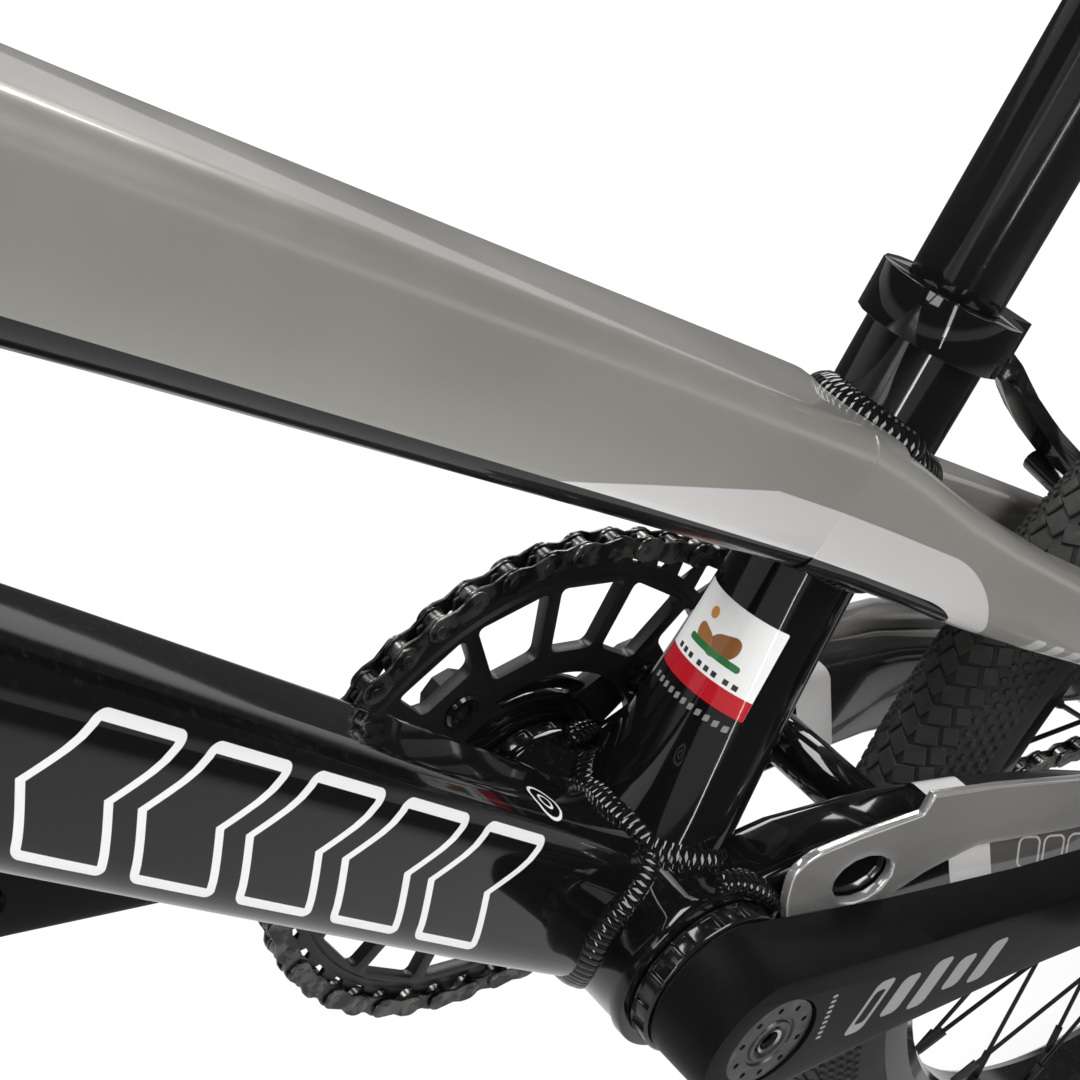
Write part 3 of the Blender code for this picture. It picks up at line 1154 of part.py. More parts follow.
def brake_lever():
    """The right-hand lever and the clamp that holds it."""
    spot, along, forward, pivot, axis = lever_places()
    clamp = turned(
        "lever_clamp",
        [(BAR_RADIUS + GAP, -0.006), (BAR_RADIUS + 0.0045, -0.006), (BAR_RADIUS + 0.0045, 0.006),
         (BAR_RADIUS + GAP, 0.006)], spot, along, MATTE_BLACK, 16,
    )
    frame_turn = Matrix((
        (forward.x, along.x, axis.x, 0), (forward.y, along.y, axis.y, 0), (forward.z, along.z, axis.z, 0),
        (0, 0, 0, 1),
    ))
    arm = box("lever_clamp_arm", spot + 0.0205 * forward - 0.004 * along, (0.018, 0.018, 0.014), MATTE_BLACK,
              frame_turn, cutters)
    cut(clamp, arm, "UNION")
    bore(clamp, spot - 0.02 * along, spot + 0.02 * along, BAR_RADIUS + GAP, 16)
    ferrule = spot + 0.0225 * forward - 0.0125 * along
    barrel = rod("lever_barrel", ferrule, ferrule - 0.016 * along, 0.0042, MATTE_BLACK, 10,
                 collection=cutters)
    cut(clamp, barrel, "UNION")
    slot = box("lever_slot", spot + 0.0290 * forward - 0.003 * along, (0.022, 0.040, 0.0066), MATTE_BLACK,
               frame_turn,
               cutters)
    cut(clamp, slot)
    marks = [pivot - 0.002 * along, pivot + 0.014 * forward + 0.012 * along,
             pivot + 0.024 * forward + 0.040 * along,
             pivot + 0.026 * forward + 0.080 * along, pivot + 0.030 * forward + 0.096 * along]
    lever = bend("brake_lever", smooth(marks, 9), 0.0030, GLOSS_BLACK, 2,
                 along=[1, 1.05, 1.3, 1.5, 1.5, 1.5, 1.5, 1.6, 1.3])
    bore(lever, pivot - 0.02 * axis, pivot + 0.02 * axis, 0.0013, 8)


bottom_bracket()
crank_spindle()
cranks()
chainring()
rear_cog()
chain()
frame()
dropout("left_dropout", 1, "long")
dropout("right_dropout", -1, "short")
small_frame_parts()
axle("rear_axle", REAR_AXLE, DROPOUT_INNER + DROPOUT_THICKNESS)
axle("front_axle", FRONT_AXLE, FORK_SPACING / 2 + GAP + DROPOUT_THICKNESS)
wheel("rear", REAR_AXLE, 0.036, -0.026, HUB_SPACING, 0.0165)
wheel("front", FRONT_AXLE, 0.034, -0.034, FORK_SPACING, 0.0135)
fork()
stem_and_bar()
seat()
pedals()
brakes()
brake_lever()
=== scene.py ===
# %% [markdown]
# # A BMX race bike, seen close up at its bottom bracket
# The bike's frame, wheels, cranks and bar are already engineered: every piece has its place, its size and
# the body that it moves with. This notebook keeps that frame fixed and models the fine surfaces around it:
# butted tubes with soft corners, weld beads, chain links, tyre blocks, paint and rubber.
#
# Everything is in metres. The bottom bracket's centre is the origin, +X points forward, +Y to the left
# side of the bike and +Z up.

# %% Load the fixed frame
import json
import math

import bmesh
import bpy
from mathutils import Matrix, Vector
from mathutils.bvhtree import BVHTree

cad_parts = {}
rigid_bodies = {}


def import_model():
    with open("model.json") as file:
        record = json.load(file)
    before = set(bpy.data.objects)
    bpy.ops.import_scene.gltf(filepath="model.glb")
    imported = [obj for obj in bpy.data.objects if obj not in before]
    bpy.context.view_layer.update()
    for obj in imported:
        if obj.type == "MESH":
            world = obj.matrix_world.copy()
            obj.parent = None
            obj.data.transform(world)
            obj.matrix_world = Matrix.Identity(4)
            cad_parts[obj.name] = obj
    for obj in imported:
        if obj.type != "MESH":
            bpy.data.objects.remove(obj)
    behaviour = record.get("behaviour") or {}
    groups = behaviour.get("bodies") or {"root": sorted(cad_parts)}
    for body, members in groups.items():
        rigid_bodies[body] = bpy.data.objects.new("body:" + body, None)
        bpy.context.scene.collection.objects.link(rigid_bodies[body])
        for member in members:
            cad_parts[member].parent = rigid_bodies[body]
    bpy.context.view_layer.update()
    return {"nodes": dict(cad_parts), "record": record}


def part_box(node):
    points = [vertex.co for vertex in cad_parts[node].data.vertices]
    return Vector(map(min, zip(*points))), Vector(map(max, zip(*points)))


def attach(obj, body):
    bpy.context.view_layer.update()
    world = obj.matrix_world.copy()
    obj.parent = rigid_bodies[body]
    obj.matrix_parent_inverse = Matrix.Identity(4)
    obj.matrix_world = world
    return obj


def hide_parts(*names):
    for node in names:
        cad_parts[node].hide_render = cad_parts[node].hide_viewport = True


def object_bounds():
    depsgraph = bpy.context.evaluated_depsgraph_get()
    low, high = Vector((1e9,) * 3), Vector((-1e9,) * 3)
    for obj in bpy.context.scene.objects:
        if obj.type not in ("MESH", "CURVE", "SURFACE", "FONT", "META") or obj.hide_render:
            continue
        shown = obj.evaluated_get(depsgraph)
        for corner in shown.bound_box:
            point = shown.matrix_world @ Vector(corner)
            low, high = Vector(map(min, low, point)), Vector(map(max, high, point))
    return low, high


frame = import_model()
nodes = frame["nodes"]
home = {node: body for body, members in frame["record"]["behaviour"]["bodies"].items() for node in members}

# %% [markdown]
# ## The camera
# A product picture of a bike is often a close crop, taken with a longer lens so that round things stay
# round. The camera stands in front of the bike's left side, a little above the handlebar's clamp, and
# looks down at the bottom bracket. Its three directions are worked out from an azimuth, an elevation and a
# roll, which is easier to adjust than Euler angles. The picture is the lower part of a square, so the lens
# is shifted instead of tilted, and that keeps the tubes' perspective.

# %% Camera
EYE = Vector((0.390332, 0.316449, 0.401481))
AZIMUTH, ELEVATION, ROLL = 0.829880, 0.636635, 0.286017  # radians
FOCAL_SHARE = 1.96867  # focal length, in picture widths
SHIFT = 0.2185
SENSOR = 36.0
back = Vector((math.cos(ELEVATION) * math.sin(AZIMUTH), math.cos(ELEVATION) * math.cos(AZIMUTH),
               math.sin(ELEVATION)))
level = Vector((-math.cos(AZIMUTH), math.sin(AZIMUTH), 0))
over = back.cross(level)
right = level * math.cos(ROLL) + over * math.sin(ROLL)
upward = over * math.cos(ROLL) - level * math.sin(ROLL)
lens = bpy.data.cameras.new("close_view")
lens.sensor_width = SENSOR
lens.lens = FOCAL_SHARE * SENSOR
lens.shift_y = SHIFT
lens.clip_start = 0.02
camera = bpy.data.objects.new("close_view", lens)
camera.matrix_world = Matrix.Translation(EYE) @ Matrix((right, upward, back)).transposed().to_4x4()
bpy.context.scene.collection.objects.link(camera)
bpy.context.scene.camera = camera
print("lens", round(lens.lens, 1), "mm at", round(EYE.length, 3), "m from the bottom bracket")

# %% [markdown]
# ## Hand tools
# A few helpers stand for what a hand does all the time in the viewport: put everything down, start an
# empty piece, pick faces by where they are, apply a modifier, and hand a finished piece over. Handing
# over merges loose points, turns the faces outwards, shades the piece, gives it a material, and hangs it
# on the body that it moves with.

# %% Tools: start, pick and treat a piece
LEFT = Vector((0, 1, 0))
MERGE = 0.00001


def calm():
    """Back to object mode, with nothing selected."""
    if bpy.context.object and bpy.context.object.mode == "EDIT":
        bpy.ops.object.mode_set(mode="OBJECT")
    for thing in bpy.context.selected_objects:
        thing.select_set(False)


def take(piece, mode="EDIT"):
    """Makes one piece active and selected."""
    calm()
    bpy.context.view_layer.objects.active = piece
    piece.select_set(True)
    bpy.ops.object.mode_set(mode=mode)

def everything():
    """Selects all of the open piece."""
    bpy.ops.mesh.select_all(action="SELECT")

def nothing():
    """Deselects all of the open piece, so that what is added next is shaped alone."""
    bpy.ops.mesh.select_all(action="DESELECT")

def clean():
    """Merges points that coincide, and turns all faces outwards."""
    everything()
    bpy.ops.mesh.remove_doubles(threshold=MERGE)
    bpy.ops.mesh.normals_make_consistent(inside=False)

def stretch(factors, centre=(0, 0, 0)):
    """Scales what is selected about a point."""
    bpy.ops.transform.resize(value=factors, center_override=centre)


def blank(name, mesh=None):
    """A new piece, empty or from a copied mesh, open in edit mode."""
    piece = bpy.data.objects.new(name, mesh or bpy.data.meshes.new(name))
    bpy.context.scene.collection.objects.link(piece)
    take(piece)
    bpy.ops.mesh.select_mode(type="VERT")
    return piece


def pick(kind, test):
    """Selects the verts, edges or faces that pass a test, and counts them."""
    bpy.ops.mesh.select_mode(type={"verts": "VERT", "edges": "EDGE", "faces": "FACE"}[kind])
    nothing()
    shape = bmesh.from_edit_mesh(bpy.context.object.data)
    found = [part for part in getattr(shape, kind) if test(part)]
    for part in found:
        part.select_set(True)
    shape.select_flush_mode()
    bmesh.update_edit_mesh(bpy.context.object.data)
    return len(found)


def treat(piece, kind, **settings):
    """Adds one modifier and applies it."""
    take(piece, "OBJECT")
    change = piece.modifiers.new(kind.title(), kind)
    for key, value in settings.items():
        setattr(change, key, value)
    bpy.ops.object.modifier_apply(modifier=change.name)
    return piece


def soften(piece, width, segments=2, angle=35):
    """Rounds the edges that are sharper than an angle, as a file or a polishing wheel does."""
    return treat(piece, "BEVEL", width=width, segments=segments, limit_method="ANGLE",
                 angle_limit=math.radians(angle), miter_outer="MITER_ARC")


# %% Tools: hand a piece over
total_faces = 0


def hand_over(piece, body, finish, *stands_for, angle=35, tidy=True):
    """Cleans and shades a piece, paints it, and hangs it on its body."""
    global total_faces
    take(piece)
    if tidy:
        clean()
    bpy.ops.object.mode_set(mode="OBJECT")
    bpy.ops.object.shade_smooth_by_angle(angle=math.radians(angle))
    piece.data.materials.clear()
    piece.data.materials.append(finish)
    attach(piece, body)
    if stands_for:
        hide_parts(*stands_for)
    total_faces += len(piece.data.polygons)
    print(f"{piece.name}: {len(piece.data.polygons)} faces on {body}")


# %% [markdown]
# ## Shared effects for the materials
# Real finishes are never one flat colour. Four node groups give every material its small life: a grain
# that is felt more than seen, wear along edges, dust on what faces up, and marks with rounded outlines.
# Each group only puts out masks and heights. The shader stays in the material, so that its gloss reacts to
# the lights.

# %% Tools for node trees
def socket_of(tree, kind, *sources, output=0, **settings):
    """Adds a node, feeds its inputs in order, and gives one of its outputs. None leaves an input alone."""
    node = tree.nodes.new("ShaderNode" + kind)
    for key, value in settings.items():
        setattr(node, key, value)
    for place, source in enumerate(sources):
        if isinstance(source, bpy.types.NodeSocket):
            tree.links.new(source, node.inputs[place])
        elif source is not None:
            node.inputs[place].default_value = source
    return node.outputs[output]


def maths(tree, operation, *sources, clamp=False):
    """One Math node."""
    return socket_of(tree, "Math", *sources, operation=operation, use_clamp=clamp)


def smooth_step(tree, value, start, end):
    """From 0 at start to 1 at end, with soft ends."""
    return socket_of(tree, "MapRange", value, start, end, 0.0, 1.0, interpolation_type="SMOOTHSTEP")


def past(tree, value, limit=0.0):
    """1 where a length is past the limit and 0 before it, with a crisp edge."""
    return smooth_step(tree, value, limit - 0.0001, limit + 0.0001)

def blend_colour(tree, mask, below, above):
    """A colour over another, where the mask is 1."""
    node = tree.nodes.new("ShaderNodeMix")
    node.data_type = "RGBA"
    for place, source in ((0, mask), (6, below), (7, above)):
        if isinstance(source, bpy.types.NodeSocket):
            tree.links.new(source, node.inputs[place])
        else:
            node.inputs[place].default_value = source
    return node.outputs[2]


def split(tree, place=None):
    """The X, Y and Z of a place, or of the spot on the object."""
    if place is None:
        place = tree.nodes.new("ShaderNodeTexCoord").outputs["Object"]
    node = tree.nodes.new("ShaderNodeSeparateXYZ")
    tree.links.new(place, node.inputs[0])
    return node.outputs

def new_group(name, inputs, outputs):
    """A shader node group with named inputs (label, kind, value) and outputs (label, kind)."""
    tree = bpy.data.node_groups.new(name, "ShaderNodeTree")
    for label, kind, value in inputs:
        socket = tree.interface.new_socket(label, in_out="INPUT", socket_type="NodeSocket" + kind)
        if value is not None:
            socket.default_value = value
    for label, kind in outputs:
        tree.interface.new_socket(label, in_out="OUTPUT", socket_type="NodeSocket" + kind)
    return tree, tree.nodes.new("NodeGroupInput").outputs, tree.nodes.new("NodeGroupOutput").inputs


def use_group(tree, group, **values):
    """Places a group in a tree, with its inputs set or linked by name, and gives its outputs."""
    node = tree.nodes.new("ShaderNodeGroup")
    node.node_tree = group
    for label, value in values.items():
        label = label.replace("_", " ")
        if isinstance(value, bpy.types.NodeSocket):
            tree.links.new(value, node.inputs[label])
        else:
            node.inputs[label].default_value = value
    return node.outputs


# %% Group: grain
GRAIN, got, gives = new_group(
    "surface_grain",
    [("Vector", "Vector", None), ("Fine", "Float", 900.0), ("Broad", "Float", 14.0)],
    [("Height", "Float"), ("Patches", "Float")],
)
fine = socket_of(GRAIN, "TexNoise", got["Vector"], None, got["Fine"], 3.0, 0.6)
wide = socket_of(GRAIN, "TexNoise", got["Vector"], None, got["Broad"], 4.0, 0.55)
GRAIN.links.new(fine, gives["Height"])
GRAIN.links.new(smooth_step(GRAIN, wide, 0.32, 0.68), gives["Patches"])

# %% Group: edge wear
WEAR, got, gives = new_group(
    "edge_wear", [("Vector", "Vector", None), ("Amount", "Float", 0.5)], [("Mask", "Float")])
pointed = WEAR.nodes.new("ShaderNodeNewGeometry").outputs["Pointiness"]
ridge = smooth_step(WEAR, pointed, 0.515, 0.60)
patchy = smooth_step(WEAR, socket_of(WEAR, "TexNoise", got["Vector"], None, 160.0, 5.0, 0.6), 0.42, 0.62)
worn = maths(WEAR, "MULTIPLY", maths(WEAR, "MULTIPLY", ridge, patchy), got["Amount"], clamp=True)
WEAR.links.new(worn, gives["Mask"])

# %% Group: settled dust
DUST, got, gives = new_group(
    "settled_dust", [("Vector", "Vector", None), ("Amount", "Float", 0.1)], [("Mask", "Float")])
upturned = split(DUST, DUST.nodes.new("ShaderNodeNewGeometry").outputs["Normal"])[2]
specks = socket_of(DUST, "TexNoise", got["Vector"], None, 420.0, 6.0, 0.75)
film = maths(DUST, "MULTIPLY", smooth_step(DUST, upturned, 0.2, 1.0), smooth_step(DUST, specks, 0.52, 0.72))
DUST.links.new(maths(DUST, "MULTIPLY", film, got["Amount"], clamp=True), gives["Mask"])

# %% [markdown]
# A painted mark is a rounded box in a flat drawing: the distance from its outline says what lies inside,
# and what lies on the line. The drawing's two directions are lengths on the real surface. On a tube they
# run along it and around it, so a mark wraps the tube as a decal does.

# %% Group: rounded mark
MARK, got, gives = new_group(
    "rounded_mark",
    [("Along", "Float", 0.0), ("Across", "Float", 0.0), ("Half Length", "Float", 0.01),
     ("Half Height", "Float", 0.01), ("Slant", "Float", 0.0), ("Corner", "Float", 0.002),
     ("Line", "Float", 0.001)],
    [("Inside", "Float"), ("Outline", "Float")],
)
leaning = maths(MARK, "SUBTRACT", got["Along"], maths(MARK, "MULTIPLY", got["Across"], got["Slant"]))
reach = []
for distance, half in ((leaning, got["Half Length"]), (got["Across"], got["Half Height"])):
    core = maths(MARK, "SUBTRACT", half, got["Corner"])
    reach.append(maths(MARK, "SUBTRACT", maths(MARK, "ABSOLUTE", distance), core))
beyond = [maths(MARK, "MAXIMUM", part, 0.0) for part in reach]
corner_way = maths(MARK, "SQRT", maths(MARK, "ADD", maths(MARK, "MULTIPLY", beyond[0], beyond[0]),
                                       maths(MARK, "MULTIPLY", beyond[1], beyond[1])))
inner_way = maths(MARK, "MINIMUM", maths(MARK, "MAXIMUM", reach[0], reach[1]), 0.0)
edge = maths(MARK, "SUBTRACT", maths(MARK, "ADD", corner_way, inner_way), got["Corner"])
MARK.links.new(smooth_step(MARK, edge, 0.00008, -0.00008), gives["Inside"])
on_line = maths(MARK, "SUBTRACT", maths(MARK, "ABSOLUTE", edge), maths(MARK, "MULTIPLY", got["Line"], 0.5))
MARK.links.new(smooth_step(MARK, on_line, 0.00008, -0.00008), gives["Outline"])


# %% Tool: drawing directions on a tube
def tube_drawing(tree, start, tilt, radius):
    """Lengths along and around a tube that leans by tilt in the XZ plane: 0 around is its left side."""
    place = tree.nodes.new("ShaderNodeTexCoord").outputs["Object"]
    moved = socket_of(tree, "VectorMath", place, tuple(-Vector(start)), operation="ADD")
    turned_place = socket_of(tree, "Mapping", moved, None, (0.0, tilt, 0.0))
    along, across, upwards = split(tree, turned_place)
    return along, maths(tree, "MULTIPLY", maths(tree, "ARCTAN2", upwards, across), radius)


def mark(tree, along, around, spot, size, slant=0.0, corner=0.002, line=0.001, outline=False):
    """One rounded mark at a spot of the drawing; size is (length, height)."""
    outputs = use_group(
        tree, MARK, Along=maths(tree, "SUBTRACT", along, spot[0]),
        Across=maths(tree, "SUBTRACT", around, spot[1]), Half_Length=size[0] / 2, Half_Height=size[1] / 2,
        Slant=slant, Corner=corner, Line=line)
    return outputs["Outline" if outline else "Inside"]


def either(tree, masks):
    """The union of several masks."""
    whole = masks[0]
    for mask in masks[1:]:
        whole = maths(tree, "MAXIMUM", whole, mask)
    return whole


# %% [markdown]
# ## Finishes
# One function makes a finish from its look: colour, roughness, metal, clear coat, and how much grain, wear
# and dust it shows. Some finishes carry stripes or marks, so it can be given a function that paints them
# over the plain colour, below the wear and the dust. One noise shifts colour and roughness together, so
# that a smudge also looks smudged in the reflections.

# %% Tool: make a finish
def finish(name, slot, colour, roughness, metallic=0.0, coat=0.0, fine_scale=900.0, bump=0.00002,
           patch=0.06, wear=0.0, worn=None, dust=0.08, specular=0.5, paint=None):
    """A Principled material with grain, wear and dust; paint(tree, colour) may add marks to the colour."""
    material = bpy.data.materials.new(name)
    material.use_nodes = True
    material["slot"] = slot
    tree = material.node_tree
    shader = tree.nodes["Principled BSDF"]
    place = tree.nodes.new("ShaderNodeTexCoord").outputs["Object"]
    grain = use_group(tree, GRAIN, Vector=place, Fine=fine_scale)
    light = [min(1.0, part * (1 + patch * 4) + patch * 0.02) for part in colour]
    base = blend_colour(tree, grain["Patches"], (*colour, 1), (*light, 1))
    if paint:
        base = paint(tree, base)
    if wear:
        base = blend_colour(tree, use_group(tree, WEAR, Vector=place, Amount=wear)["Mask"], base, worn)
    dusty = use_group(tree, DUST, Vector=place, Amount=dust)["Mask"]
    base = blend_colour(tree, dusty, base, (0.30, 0.28, 0.25, 1))
    tree.links.new(base, shader.inputs["Base Color"])
    rough = socket_of(tree, "MapRange", grain["Patches"], 0.0, 1.0, roughness * 0.85, roughness * 1.2)
    rough = maths(tree, "ADD", rough, maths(tree, "MULTIPLY", dusty, 0.5), clamp=True)
    tree.links.new(rough, shader.inputs["Roughness"])
    shader.inputs["Metallic"].default_value = metallic
    shader.inputs["Coat Weight"].default_value = coat
    shader.inputs["Coat Roughness"].default_value = 0.03
    shader.inputs["Specular IOR Level"].default_value = specular
    relief = tree.nodes.new("ShaderNodeBump")
    relief.inputs["Distance"].default_value = bump
    tree.links.new(grain["Height"], relief.inputs["Height"])
    tree.links.new(relief.outputs[0], shader.inputs["Normal"])
    print("finish", name)
    return material


# %% Tool: the frame's black paint
def gloss_paint(name, paint=None, roughness=0.07):
    """Deep black under a clear coat, plain or with marks."""
    return finish(name, "gloss_black_paint", (0.004, 0.004, 0.0045), roughness, coat=0.4, fine_scale=260.0,
                  bump=0.00001, patch=0.02, dust=0.05, specular=0.25, paint=paint)

# %% Plain finishes
gloss_black = gloss_paint("gloss_black_paint")
gloss_alloy = finish("gloss_black_alloy", "gloss_black_alloy", (0.006, 0.006, 0.0065), 0.13, coat=0.3,
                     fine_scale=500.0, patch=0.04, dust=0.05, specular=0.35)
matte_alloy = finish("matte_black_alloy", "matte_black_alloy", (0.009, 0.009, 0.0095), 0.40,
                     fine_scale=2600.0, bump=0.00003, patch=0.08, dust=0.06, specular=0.35)
gunmetal = finish("gunmetal", "gunmetal", (0.045, 0.045, 0.048), 0.36, 0.75, fine_scale=2200.0, patch=0.05,
                  wear=0.15, worn=(0.6, 0.6, 0.6, 1))
chain_black = finish("chain_steel", "chain_steel", (0.012, 0.012, 0.0125), 0.24, 0.5, fine_scale=1400.0,
                     patch=0.15, wear=0.6, worn=(0.3, 0.29, 0.27, 1))
steel = finish("steel", "steel", (0.46, 0.46, 0.47), 0.24, 1.0, fine_scale=1600.0, patch=0.04, wear=0.2,
               worn=(0.8, 0.8, 0.8, 1))
spoke_steel = finish("black_spokes", "steel", (0.02, 0.02, 0.021), 0.28, 0.8, fine_scale=1600.0, patch=0.04)
polished = finish("polished_alloy", "polished_alloy", (0.86, 0.845, 0.83), 0.15, 0.8, fine_scale=700.0,
                  bump=0.00001, patch=0.03, dust=0.04)
grip_rubber = finish("grip_rubber", "grip_rubber", (0.013, 0.013, 0.013), 0.7, fine_scale=3000.0,
                     bump=0.00006, patch=0.12, dust=0.2)
plastic = finish("black_plastic", "black_plastic", (0.014, 0.014, 0.015), 0.48, fine_scale=1900.0,
                 bump=0.00005, patch=0.1, dust=0.15)
tyre_rubber = finish("tyre_rubber", "tyre_rubber", (0.013, 0.0125, 0.012), 0.72, fine_scale=1500.0,
                     bump=0.00006, patch=0.2, wear=0.3, worn=(0.045, 0.043, 0.04, 1), dust=0.3)

# %% [markdown]
# ## Paint with marks
# The big tube carries outlined chevrons in white, a plain ring near the bottom bracket, and nothing that
# can be read. The seat tube has a small label: a white field over a red band, with a plain
# hill and a sun. The upper stays are warm grey with a pale band that ends round, over a black underside.
# All of it is worked out in the shader from lengths on the tube, which keeps every edge crisp from near.

# %% Sizes of the main tubes
HEAD_ANGLE, SEAT_ANGLE = math.radians(74), math.radians(73)
STEER_UP = Vector((-math.cos(HEAD_ANGLE), 0, math.sin(HEAD_ANGLE)))
STEER_FORE = Vector((math.sin(HEAD_ANGLE), 0, math.cos(HEAD_ANGLE)))
SEAT_UP = Vector((-math.cos(SEAT_ANGLE), 0, math.sin(SEAT_ANGLE)))
REAR_AXLE = Vector([(low + high) / 2 for low, high in zip(*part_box("rear_axle"))])
FRONT_AXLE = Vector([(low + high) / 2 for low, high in zip(*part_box("front_axle"))])
FORK_LENGTH, FORK_RAKE = 0.318, 0.032
HEADSET_STACK, HEAD_TUBE_LENGTH, HEAD_TUBE_RADIUS = 0.012, 0.115, 0.023
CROWN = FRONT_AXLE - FORK_RAKE * STEER_FORE + FORK_LENGTH * STEER_UP
HEAD_BOTTOM = CROWN + HEADSET_STACK * STEER_UP
HEAD_TOP = HEAD_BOTTOM + HEAD_TUBE_LENGTH * STEER_UP
DOWN_TUBE_START = Vector((0.006, 0, 0))
DOWN_TUBE_END = HEAD_BOTTOM + 0.0106 * STEER_UP
DOWN_TUBE_WAY = (DOWN_TUBE_END - DOWN_TUBE_START).normalized()
DOWN_TUBE_RADIUS = 0.0265
SEAT_TUBE_WIDTH, SEAT_TUBE_TOP = 0.035, 0.196
print("head tube from", HEAD_BOTTOM, "to", HEAD_TOP)


# %% Paint: the down tube
def down_tube_marks(tree, base):
    """White outlined chevrons on the left and right sides, and a ring near the bottom bracket."""
    tilt = math.atan2(DOWN_TUBE_WAY.z, DOWN_TUBE_WAY.x)
    along, around = tube_drawing(tree, DOWN_TUBE_START, tilt, DOWN_TUBE_RADIUS)
    whole_turn = 2 * math.pi * DOWN_TUBE_RADIUS
    from_right = maths(tree, "SUBTRACT", maths(tree, "MODULO", maths(tree, "ADD", around, whole_turn),
                                               whole_turn), whole_turn / 2)
    lines = [mark(tree, along, around, (0.0660, 0.0320), (size, size), 0, size / 2, line, True)
             for size, line in ((0.0112, 0.0010), (0.0046, 0.0008))]
    for here, low in ((around, 0.0023), (from_right, -0.0023)):
        bent = maths(tree, "ABSOLUTE", maths(tree, "SUBTRACT", here, low))
        lines += [mark(tree, along, bent, (0.0960 + 0.0345 * step, 0), (0.0245, 0.0350), -0.62, 0.0016,
                       0.0027, True) for step in range(5)]
    return blend_colour(tree, either(tree, lines), base, (0.74, 0.74, 0.74, 1))


down_tube_paint = gloss_paint("gloss_black_marked", down_tube_marks)


# %% Paint: the seat tube's label
def seat_label(tree, base):
    """A white field with a green hill, an amber sun, a red band, and a row of grey ticks below."""
    tilt = math.pi - SEAT_ANGLE
    radius = SEAT_TUBE_WIDTH / 2 + 0.0012
    along, around = tube_drawing(tree, (0, 0, 0), tilt, radius)
    middle = -radius * math.radians(86)
    field = mark(tree, along, around, (0.0855, middle), (0.0285, 0.0362), 0, 0.0006)
    red = mark(tree, along, around, (0.0742, middle), (0.0062, 0.0362), 0, 0.0002)
    ground = mark(tree, along, around, (0.0838, middle), (0.0022, 0.0215), 0, 0.0011)
    hill = mark(tree, along, around, (0.0870, middle + 0.0025), (0.0075, 0.0110), 0.35, 0.0035)
    small_hill = mark(tree, along, around, (0.0862, middle - 0.0052), (0.0055, 0.0080), -0.3, 0.0026)
    sun = mark(tree, along, around, (0.0935, middle - 0.0060), (0.0036, 0.0036), 0, 0.0018)
    dashes = [mark(tree, along, around, (0.0790, middle + 0.0031 * step), (0.0017, 0.0018), 0, 0.0002)
              for step in (-4, -3, -2, -0.6, 0.4, 1.4, 2.8, 3.8)]
    ticks = [mark(tree, along, around, (0.0672, middle + 0.0030 * step), (0.0020, 0.0017), 0.3, 0.0003)
             for step in range(-5, 6)]
    colours = (
        (field, (0.82, 0.82, 0.81, 1)), (red, (0.45, 0.012, 0.02, 1)), (hill, (0.24, 0.10, 0.035, 1)),
        (small_hill, (0.33, 0.15, 0.05, 1)), (ground, (0.03, 0.16, 0.05, 1)), (sun, (0.55, 0.25, 0.05, 1)),
        (either(tree, dashes), (0.03, 0.03, 0.03, 1)), (either(tree, ticks), (0.22, 0.22, 0.22, 1)),
    )
    for mask, colour in colours:
        base = blend_colour(tree, mask, base, colour)
    return base


seat_tube_paint = gloss_paint("gloss_black_label", seat_label)

# %% Paint: the top tube and the upper stays
UNDERSIDE_AT_CENTRE, UNDERSIDE_SLOPE = 0.1307, 0.4  # the lower edge of the tubes' sides, in the XZ plane
BAND_HEIGHT, BAND_END, BAND_ROUND = 0.0200, -0.0745, 0.022
BLACK_HEIGHT, BLACK_END, BLACK_ROUND = 0.0050, -0.0600, 0.012


def upper_stripes(tree, base):
    """A pale band over a black underside, both ending round on the stays."""
    x, side_y, z = split(tree)
    lower = maths(tree, "ADD", maths(tree, "MULTIPLY", x, UNDERSIDE_SLOPE), UNDERSIDE_AT_CENTRE)
    height = maths(tree, "SUBTRACT", z, lower)

    def ending(end, roundness):
        """From 1 down to 0 towards an end, like a quarter circle."""
        inwards = maths(tree, "DIVIDE", maths(tree, "SUBTRACT", x, end), roundness, clamp=True)
        missing = maths(tree, "SUBTRACT", 1.0, inwards)
        return maths(tree, "SQRT", maths(tree, "SUBTRACT", 1.0, maths(tree, "MULTIPLY", missing, missing)))

    taper = maths(tree, "SUBTRACT", BAND_HEIGHT, maths(tree, "MULTIPLY",
                                                       maths(tree, "SUBTRACT", x, 0.019), 0.205))
    band_top = maths(tree, "MULTIPLY", maths(tree, "MINIMUM", taper, BAND_HEIGHT),
                     ending(BAND_END, BAND_ROUND))
    black_top = maths(tree, "MULTIPLY", ending(BLACK_END, BLACK_ROUND), BLACK_HEIGHT)
    band = maths(tree, "MULTIPLY", past(tree, x, BAND_END), past(
        tree, maths(tree, "SUBTRACT", band_top, height)))
    under = maths(tree, "MULTIPLY", past(tree, x, BLACK_END), past(
        tree, maths(tree, "SUBTRACT", black_top, height)))
    base = blend_colour(tree, band, base, (0.84, 0.83, 0.82, 1))
    base = blend_colour(tree, under, base, (0.005, 0.005, 0.005, 1))
    along = maths(tree, "ADD", maths(tree, "MULTIPLY", x, -0.927), maths(tree, "MULTIPLY", z, -0.374))
    bars = [mark(tree, along, height, (0.0560 + 0.0105 * step, -0.0010), (0.0062, 0.0125), 0.35, 0.0016)
            for step in range(9)]
    outside = smooth_step(tree, maths(tree, "ABSOLUTE", side_y), 0.028, 0.030)
    bars = maths(tree, "MULTIPLY", either(tree, bars), outside)
    return blend_colour(tree, bars, base, (0.74, 0.72, 0.71, 1))


